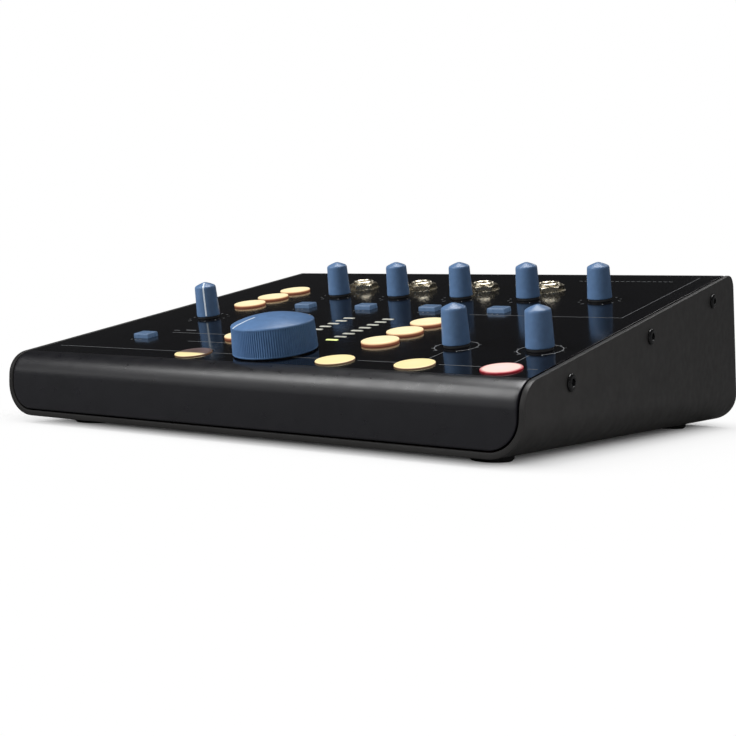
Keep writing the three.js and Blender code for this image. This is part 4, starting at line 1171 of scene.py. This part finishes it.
# Fine light print on the overlay: thin raised lines, dials round the knobs, and plain marks
PRINT_RISE = 0.03
PRINT_SINK = 0.04
PRINT_WIDTH = 0.17
BOLD_WIDTH = 0.28
DIAL = 7.4
DIAL_SWEEP = 150
DIAL_STEP = 6
DIAL_TICK_STEP = 30
DIAL_TICK = 0.9
DIAL_LONG_TICK = 1.4
DIAL_LONG_TICKS = (-150, 0, 150)
RINGED_KNOBS = {"talkback_level_knob": "talkback_button", "dim_level_knob": "mute_button"}
LINE_GAP = 1.2
DIAL_GAP = 0.6
TALK_LINE_RISE = 1.7
TALK_LINE_INSETS = (6, 2.6)
SOURCE_LINE_RISE = 3
SOURCE_LINE_GAPS = (6, 0.6)
LOWER_LINE = 18
LOWER_LINE_DROP = 12.8
MODE_MARKS = ((3.5, 6.5, 12, BOLD_WIDTH), (9, 14, 13, 2 * BOLD_WIDTH))
CORNER_LINE_START = 7
CORNER_LINE_RISE = 18.3
CORNER_LINE_SLANT = 1
CORNER_LINE_INSET = 7.5
CORNER_LINE_REAR = 12
DASHES = 18
DASH = 1.5
DASH_STEP = 2.3
DASH_START = -27
DASH_REAR = 21
SWITCH_TICKS = (-2.2, 0, 2.2)
SWITCH_TICK = (5.0, 5.9)


def stroke(bm, points, width=PRINT_WIDTH):
    """A thin raised line along points of x and s."""
    rows = []
    for i, (x, s) in enumerate(points):
        before = Vector(points[max(i - 1, 0)])
        after = Vector(points[min(i + 1, len(points) - 1)])
        along = (after - before).normalized()
        side = Vector((-along.y, along.x)) * width / 2
        rows.append([bm.verts.new((x + way * side.x, s + way * side.y, height)) for way, height in (
            (1, -PRINT_SINK), (1, PRINT_RISE), (-1, PRINT_RISE), (-1, -PRINT_SINK))])
    capped(bm, rows)


def clock(x, s, radius, degrees):
    """Point on a circle, by degrees clockwise from up-slope."""
    turn = math.radians(degrees)
    return x + radius * math.sin(turn), s + radius * math.cos(turn)


def print_dials(bm):
    for name in small_knobs:
        x, s = places[name]
        if name in RINGED_KNOBS:
            ring = [clock(x, s, DIAL, turn) for turn in range(-DIAL_SWEEP, DIAL_SWEEP + 1, DIAL_STEP)]
            stroke(bm, ring, BOLD_WIDTH)
        for turn in range(-DIAL_SWEEP, DIAL_SWEEP + 1, DIAL_TICK_STEP):
            tick = DIAL_LONG_TICK if turn in DIAL_LONG_TICKS else DIAL_TICK
            stroke(bm, [clock(x, s, DIAL, turn), clock(x, s, DIAL + tick, turn)], BOLD_WIDTH)


def make_print():
    bm = bmesh.new()
    print_dials(bm)
    talk_row = places["mono_button"][1] + TALK_LINE_RISE
    edge = BUTTON + LINE_GAP
    columns = sorted(places[name][0] for name in talk_buttons)
    left, right = TALK_LINE_INSETS
    stops = [left - COVER_HALF, *[x + way * edge for x in columns for way in (-1, 1)], COVER_HALF - right]
    for start, end in zip(stops[::2], stops[1::2]):
        stroke(bm, [(start, talk_row), (end, talk_row)])
    for name, button in RINGED_KNOBS.items():
        x, s = places[name]
        stroke(bm, [(x, s - DIAL - DIAL_GAP), (x, places[button][1] + edge)])
    source_x, source_s = places["source_button_1"]
    mode_x, mode_s = places["mode_switch_cap"]
    source_line = source_s + SOURCE_LINE_RISE
    lower_line = source_line - LOWER_LINE_DROP
    left, right = SOURCE_LINE_GAPS
    stroke(bm, [(mode_x + left, source_line), (source_x - edge + right, source_line)])
    stroke(bm, [(source_x - LOWER_LINE, lower_line), (source_x, lower_line)])
    for start, end, rise, width in MODE_MARKS:
        stroke(bm, [(mode_x + start, mode_s + rise), (mode_x + end, mode_s + rise)], width)
    speaker_x, speaker_s = places["speaker_button_3"]
    margin = COVER_HALF - CORNER_LINE_INSET
    cross_line = speaker_s + CORNER_LINE_RISE
    stroke(bm, [(speaker_x + CORNER_LINE_START, cross_line), (margin, cross_line + CORNER_LINE_SLANT),
                (margin, DECK_LENGTH - CORNER_LINE_REAR)])
    for step in range(DASHES):
        x = places["cue_level_knob"][0] + DASH_START + DASH_STEP * step
        stroke(bm, [(x, DECK_LENGTH - DASH_REAR), (x + DASH, DECK_LENGTH - DASH_REAR)], BOLD_WIDTH)
    near, far = SWITCH_TICK
    for name in switches:
        x, s = places[name]
        for shift in SWITCH_TICKS:
            stroke(bm, [(x + shift, s - near), (x + shift, s - far)], BOLD_WIDTH)
    piece("deck_print", finished_mesh("print", bm, PRINT_ANGLE), DECK, print_ink)


make_tray()
make_cover()
make_overlay()
make_rear_panel()
make_feet()
make_screws()
make_small_knobs()
make_main_knob()
make_buttons()
make_switches()
make_meter()
make_phone_jacks()
make_rear_sockets()
make_phono_sockets()
make_power_inlet()
make_print()

# Solids that stay as they are, with their own finish
for node, finish in (("control_board", circuit_board), ("io_board", circuit_board), ("ribbon_cable", ribbon),
                     ("main_level_spindle", jack_metal)):
    nodes[node].data.materials.clear()
    nodes[node].data.materials.append(finish.material)

# Camera, at the photograph's viewing angle
CAMERA_AZIMUTH = 0.55628
CAMERA_PITCH = 0.04488
CAMERA_ROLL = 0.02584
CAMERA_FROM_EDGE = Vector((370.734, -305.096, 41.392))
CAMERA_SETTINGS = {"sensor_width": 36, "sensor_fit": "HORIZONTAL", "lens": 59.57, "shift_x": -0.07065,
                   "clip_start": 0.01, "clip_end": 50}

camera_data = bpy.data.cameras.new("camera")
camera = bpy.data.objects.new("camera", camera_data)
bpy.context.scene.collection.objects.link(camera)
bpy.context.scene.camera = camera
for key, value in CAMERA_SETTINGS.items():
    setattr(camera_data, key, value)
sin_az, cos_az = math.sin(CAMERA_AZIMUTH), math.cos(CAMERA_AZIMUTH)
sin_roll, cos_roll = math.sin(CAMERA_ROLL), math.cos(CAMERA_ROLL)
forward = Vector((-sin_az * math.cos(CAMERA_PITCH), cos_az * math.cos(CAMERA_PITCH), -math.sin(CAMERA_PITCH)))
level = Vector((cos_az, sin_az, 0))
upright = level.cross(forward)
axes = Matrix((level * cos_roll + upright * sin_roll, upright * cos_roll - level * sin_roll, -forward))
place = (CAMERA_FROM_EDGE + Vector((-HALF, FRONT_Y, FOOT))) * MM
camera.matrix_world = Matrix.Translation(place) @ axes.transposed().to_4x4()

# Floor: white, with the object's shadow close to it, and white surroundings further out
WHITE = (1, 1, 1, 1)
FLOOR_HALF = 4.0
FLOOR_COLOUR = (0.8, 0.8, 0.8, 1)
FLOOR_BOUNCE = (0.14, 0.14, 0.14, 1)
FLOOR_FAR_START = 0.1
FLOOR_FAR_END = 0.3
SHADOW_LEFT = -20.0
SHADOW_RIGHT = 24.0
SHADOW_FRONT = 25.0
SHADOW_REAR = 5.0
SHADOW_REACH = 60.0
SHADOW_STOPS = [(0.0, 0.0), (0.1, 0.05), (0.2, 0.25), (0.3, 0.52), (0.4, 0.74), (0.5, 0.87), (0.66, 0.95),
                (1.0, 0.99)]

floor_mesh = bpy.data.meshes.new("floor")
corners = [(x * FLOOR_HALF, y * FLOOR_HALF, 0) for x, y in ((-1, -1), (1, -1), (1, 1), (-1, 1))]
floor_mesh.from_pydata(corners, [], [(0, 1, 2, 3)])
floor = bpy.data.objects.new("floor", floor_mesh)
bpy.context.scene.collection.objects.link(floor)

floor_material = bpy.data.materials.new("floor")
floor_mesh.materials.append(floor_material)
tree = Tree(floor_material)
tree.nodes.clear()
spot = tree.node("ShaderNodeTexCoord").outputs["Object"]
dark_low = Vector((-HALF + SHADOW_LEFT, FRONT_Y + SHADOW_FRONT, 0)) * MM
dark_high = Vector((HALF - SHADOW_RIGHT, REAR_Y - SHADOW_REAR, 0)) * MM
one_side = tree.vector("ABSOLUTE", tree.vector("SUBTRACT", spot, (dark_low + dark_high) / 2))
past = tree.vector("SUBTRACT", one_side, (dark_high - dark_low) / 2)
distance = tree.length(tree.vector("MAXIMUM", past, (0, 0, 0)))
near = tree.ramp(tree.mapped(distance, 0, SHADOW_REACH * MM), SHADOW_STOPS)
far = tree.mapped(distance, FLOOR_FAR_START, FLOOR_FAR_END, interpolation_type="SMOOTHSTEP")
whiteness = tree.maths("MAXIMUM", near, far)
lit_floor = tree.out("ShaderNodeBsdfDiffuse", {"Color": FLOOR_COLOUR})
bounce = tree.out("ShaderNodeBsdfDiffuse", {"Color": FLOOR_BOUNCE})
white = tree.out("ShaderNodeEmission", {"Color": WHITE, "Strength": 1.0})
shown = tree.out("ShaderNodeMixShader", {0: whiteness, 1: lit_floor, 2: white})
rays = tree.node("ShaderNodeLightPath").outputs
surface = tree.out("ShaderNodeMixShader", {0: rays["Is Camera Ray"], 1: bounce, 2: shown})
tree.node("ShaderNodeOutputMaterial", {"Surface": surface})

# World: white to the camera, a dim studio in reflections, and a soft even light
MIRRORED_LOW = 0.12
MIRRORED_HIGH = 0.02
HORIZON_START = 0.15
HORIZON_END = 0.3
AMBIENT = 0.42

world = bpy.data.worlds.new("studio")
bpy.context.scene.world = world
world.cycles.sampling_method = "NONE"
tree = Tree(world)
tree.nodes.clear()
way = tree.node("ShaderNodeSeparateXYZ", {0: tree.node("ShaderNodeTexCoord").outputs["Generated"]})
horizon = tree.mapped(way.outputs["Z"], HORIZON_START, HORIZON_END, MIRRORED_LOW, MIRRORED_HIGH,
                      interpolation_type="SMOOTHSTEP")
mirrored, ambient, bright = [tree.out("ShaderNodeBackground", {"Color": WHITE, "Strength": strength})
                             for strength in (horizon, AMBIENT, 1.0)]
rays = tree.node("ShaderNodeLightPath").outputs
shiny = tree.maths("MAXIMUM", rays["Is Glossy Ray"], rays["Is Transmission Ray"])
unseen = tree.out("ShaderNodeMixShader", {0: shiny, 1: ambient, 2: mirrored})
around = tree.out("ShaderNodeMixShader", {0: rays["Is Camera Ray"], 1: unseen, 2: bright})
tree.node("ShaderNodeOutputWorld", {"Surface": around})


def softbox(name, toward, distance, width, height, watts, diffuse=True, mirrored=True, spared=()):
    """A soft lamp aimed at the object. It may give plain or mirrored light only, and spare some pieces."""
    data = bpy.data.lights.new(name, "AREA")
    data.shape = "RECTANGLE"
    data.size = width
    data.size_y = height
    data.energy = watts
    lamp = bpy.data.objects.new(name, data)
    bpy.context.scene.collection.objects.link(lamp)
    way = Vector(toward).normalized()
    lamp.location = way * distance
    lamp.rotation_mode = "QUATERNION"
    lamp.rotation_quaternion = way.to_track_quat("Z", "Y")
    lamp.visible_camera = False
    lamp.visible_diffuse = diffuse
    lamp.visible_glossy = mirrored
    if spared:
        kept_dark = bpy.data.collections.new(f"not lit by {name}")
        for spared_name in spared:
            kept_dark.objects.link(bpy.data.objects[spared_name])
        for entry in kept_dark.collection_objects:
            entry.light_linking.link_state = "EXCLUDE"
        lamp.light_linking.receiver_collection = kept_dark


# What some lamps spare: the glossy deck, the knobs beside the right cheek, and the tray's edges at the left
GLOSSY_DECK = ["deck_overlay_sheet"]
KNOB_CAPS = [f"{name}_cap" for name in (*small_knobs, "main_level_knob")]
TRAY = ["chassis_tray_folded"]

# Lamps, with distance, width and height in metres and power in watts
softbox("key", (-0.44, -0.47, 0.76), 1.1, 0.5, 0.5, 5.0, spared=TRAY)
softbox("sky", (0.0, 0.25, 0.97), 1.1, 0.8, 0.8, 3.0, mirrored=False)
softbox("left", (-0.65, -0.72, 0.27), 1.2, 0.5, 0.5, 6.0, mirrored=False, spared=TRAY)
softbox("overhead", (0.0, 0.1, 0.99), 1.1, 0.9, 0.7, 17.0, diffuse=False, spared=GLOSSY_DECK)
softbox("middle", (-0.5, -0.65, 0.56), 1.2, 0.6, 0.4, 1.6)
softbox("front", (-0.40, -0.88, 0.22), 1.3, 0.9, 0.5, 0.9)
softbox("front_left", (-0.72, -0.64, 0.27), 1.3, 0.4, 0.25, 0.35)
softbox("side", (0.78, -0.52, 0.35), 0.5, 0.25, 0.25, 0.85, mirrored=False, spared=KNOB_CAPS)
softbox("back", (0.1, 0.8, 0.6), 1.3, 0.8, 0.2, 1.3)

# Glowing surfaces light nothing worth counting, so the lamps get all of the shadow rays
for material in bpy.data.materials:
    material.cycles.emission_sampling = "NONE"
bpy.context.scene.view_settings.view_transform = "Standard"
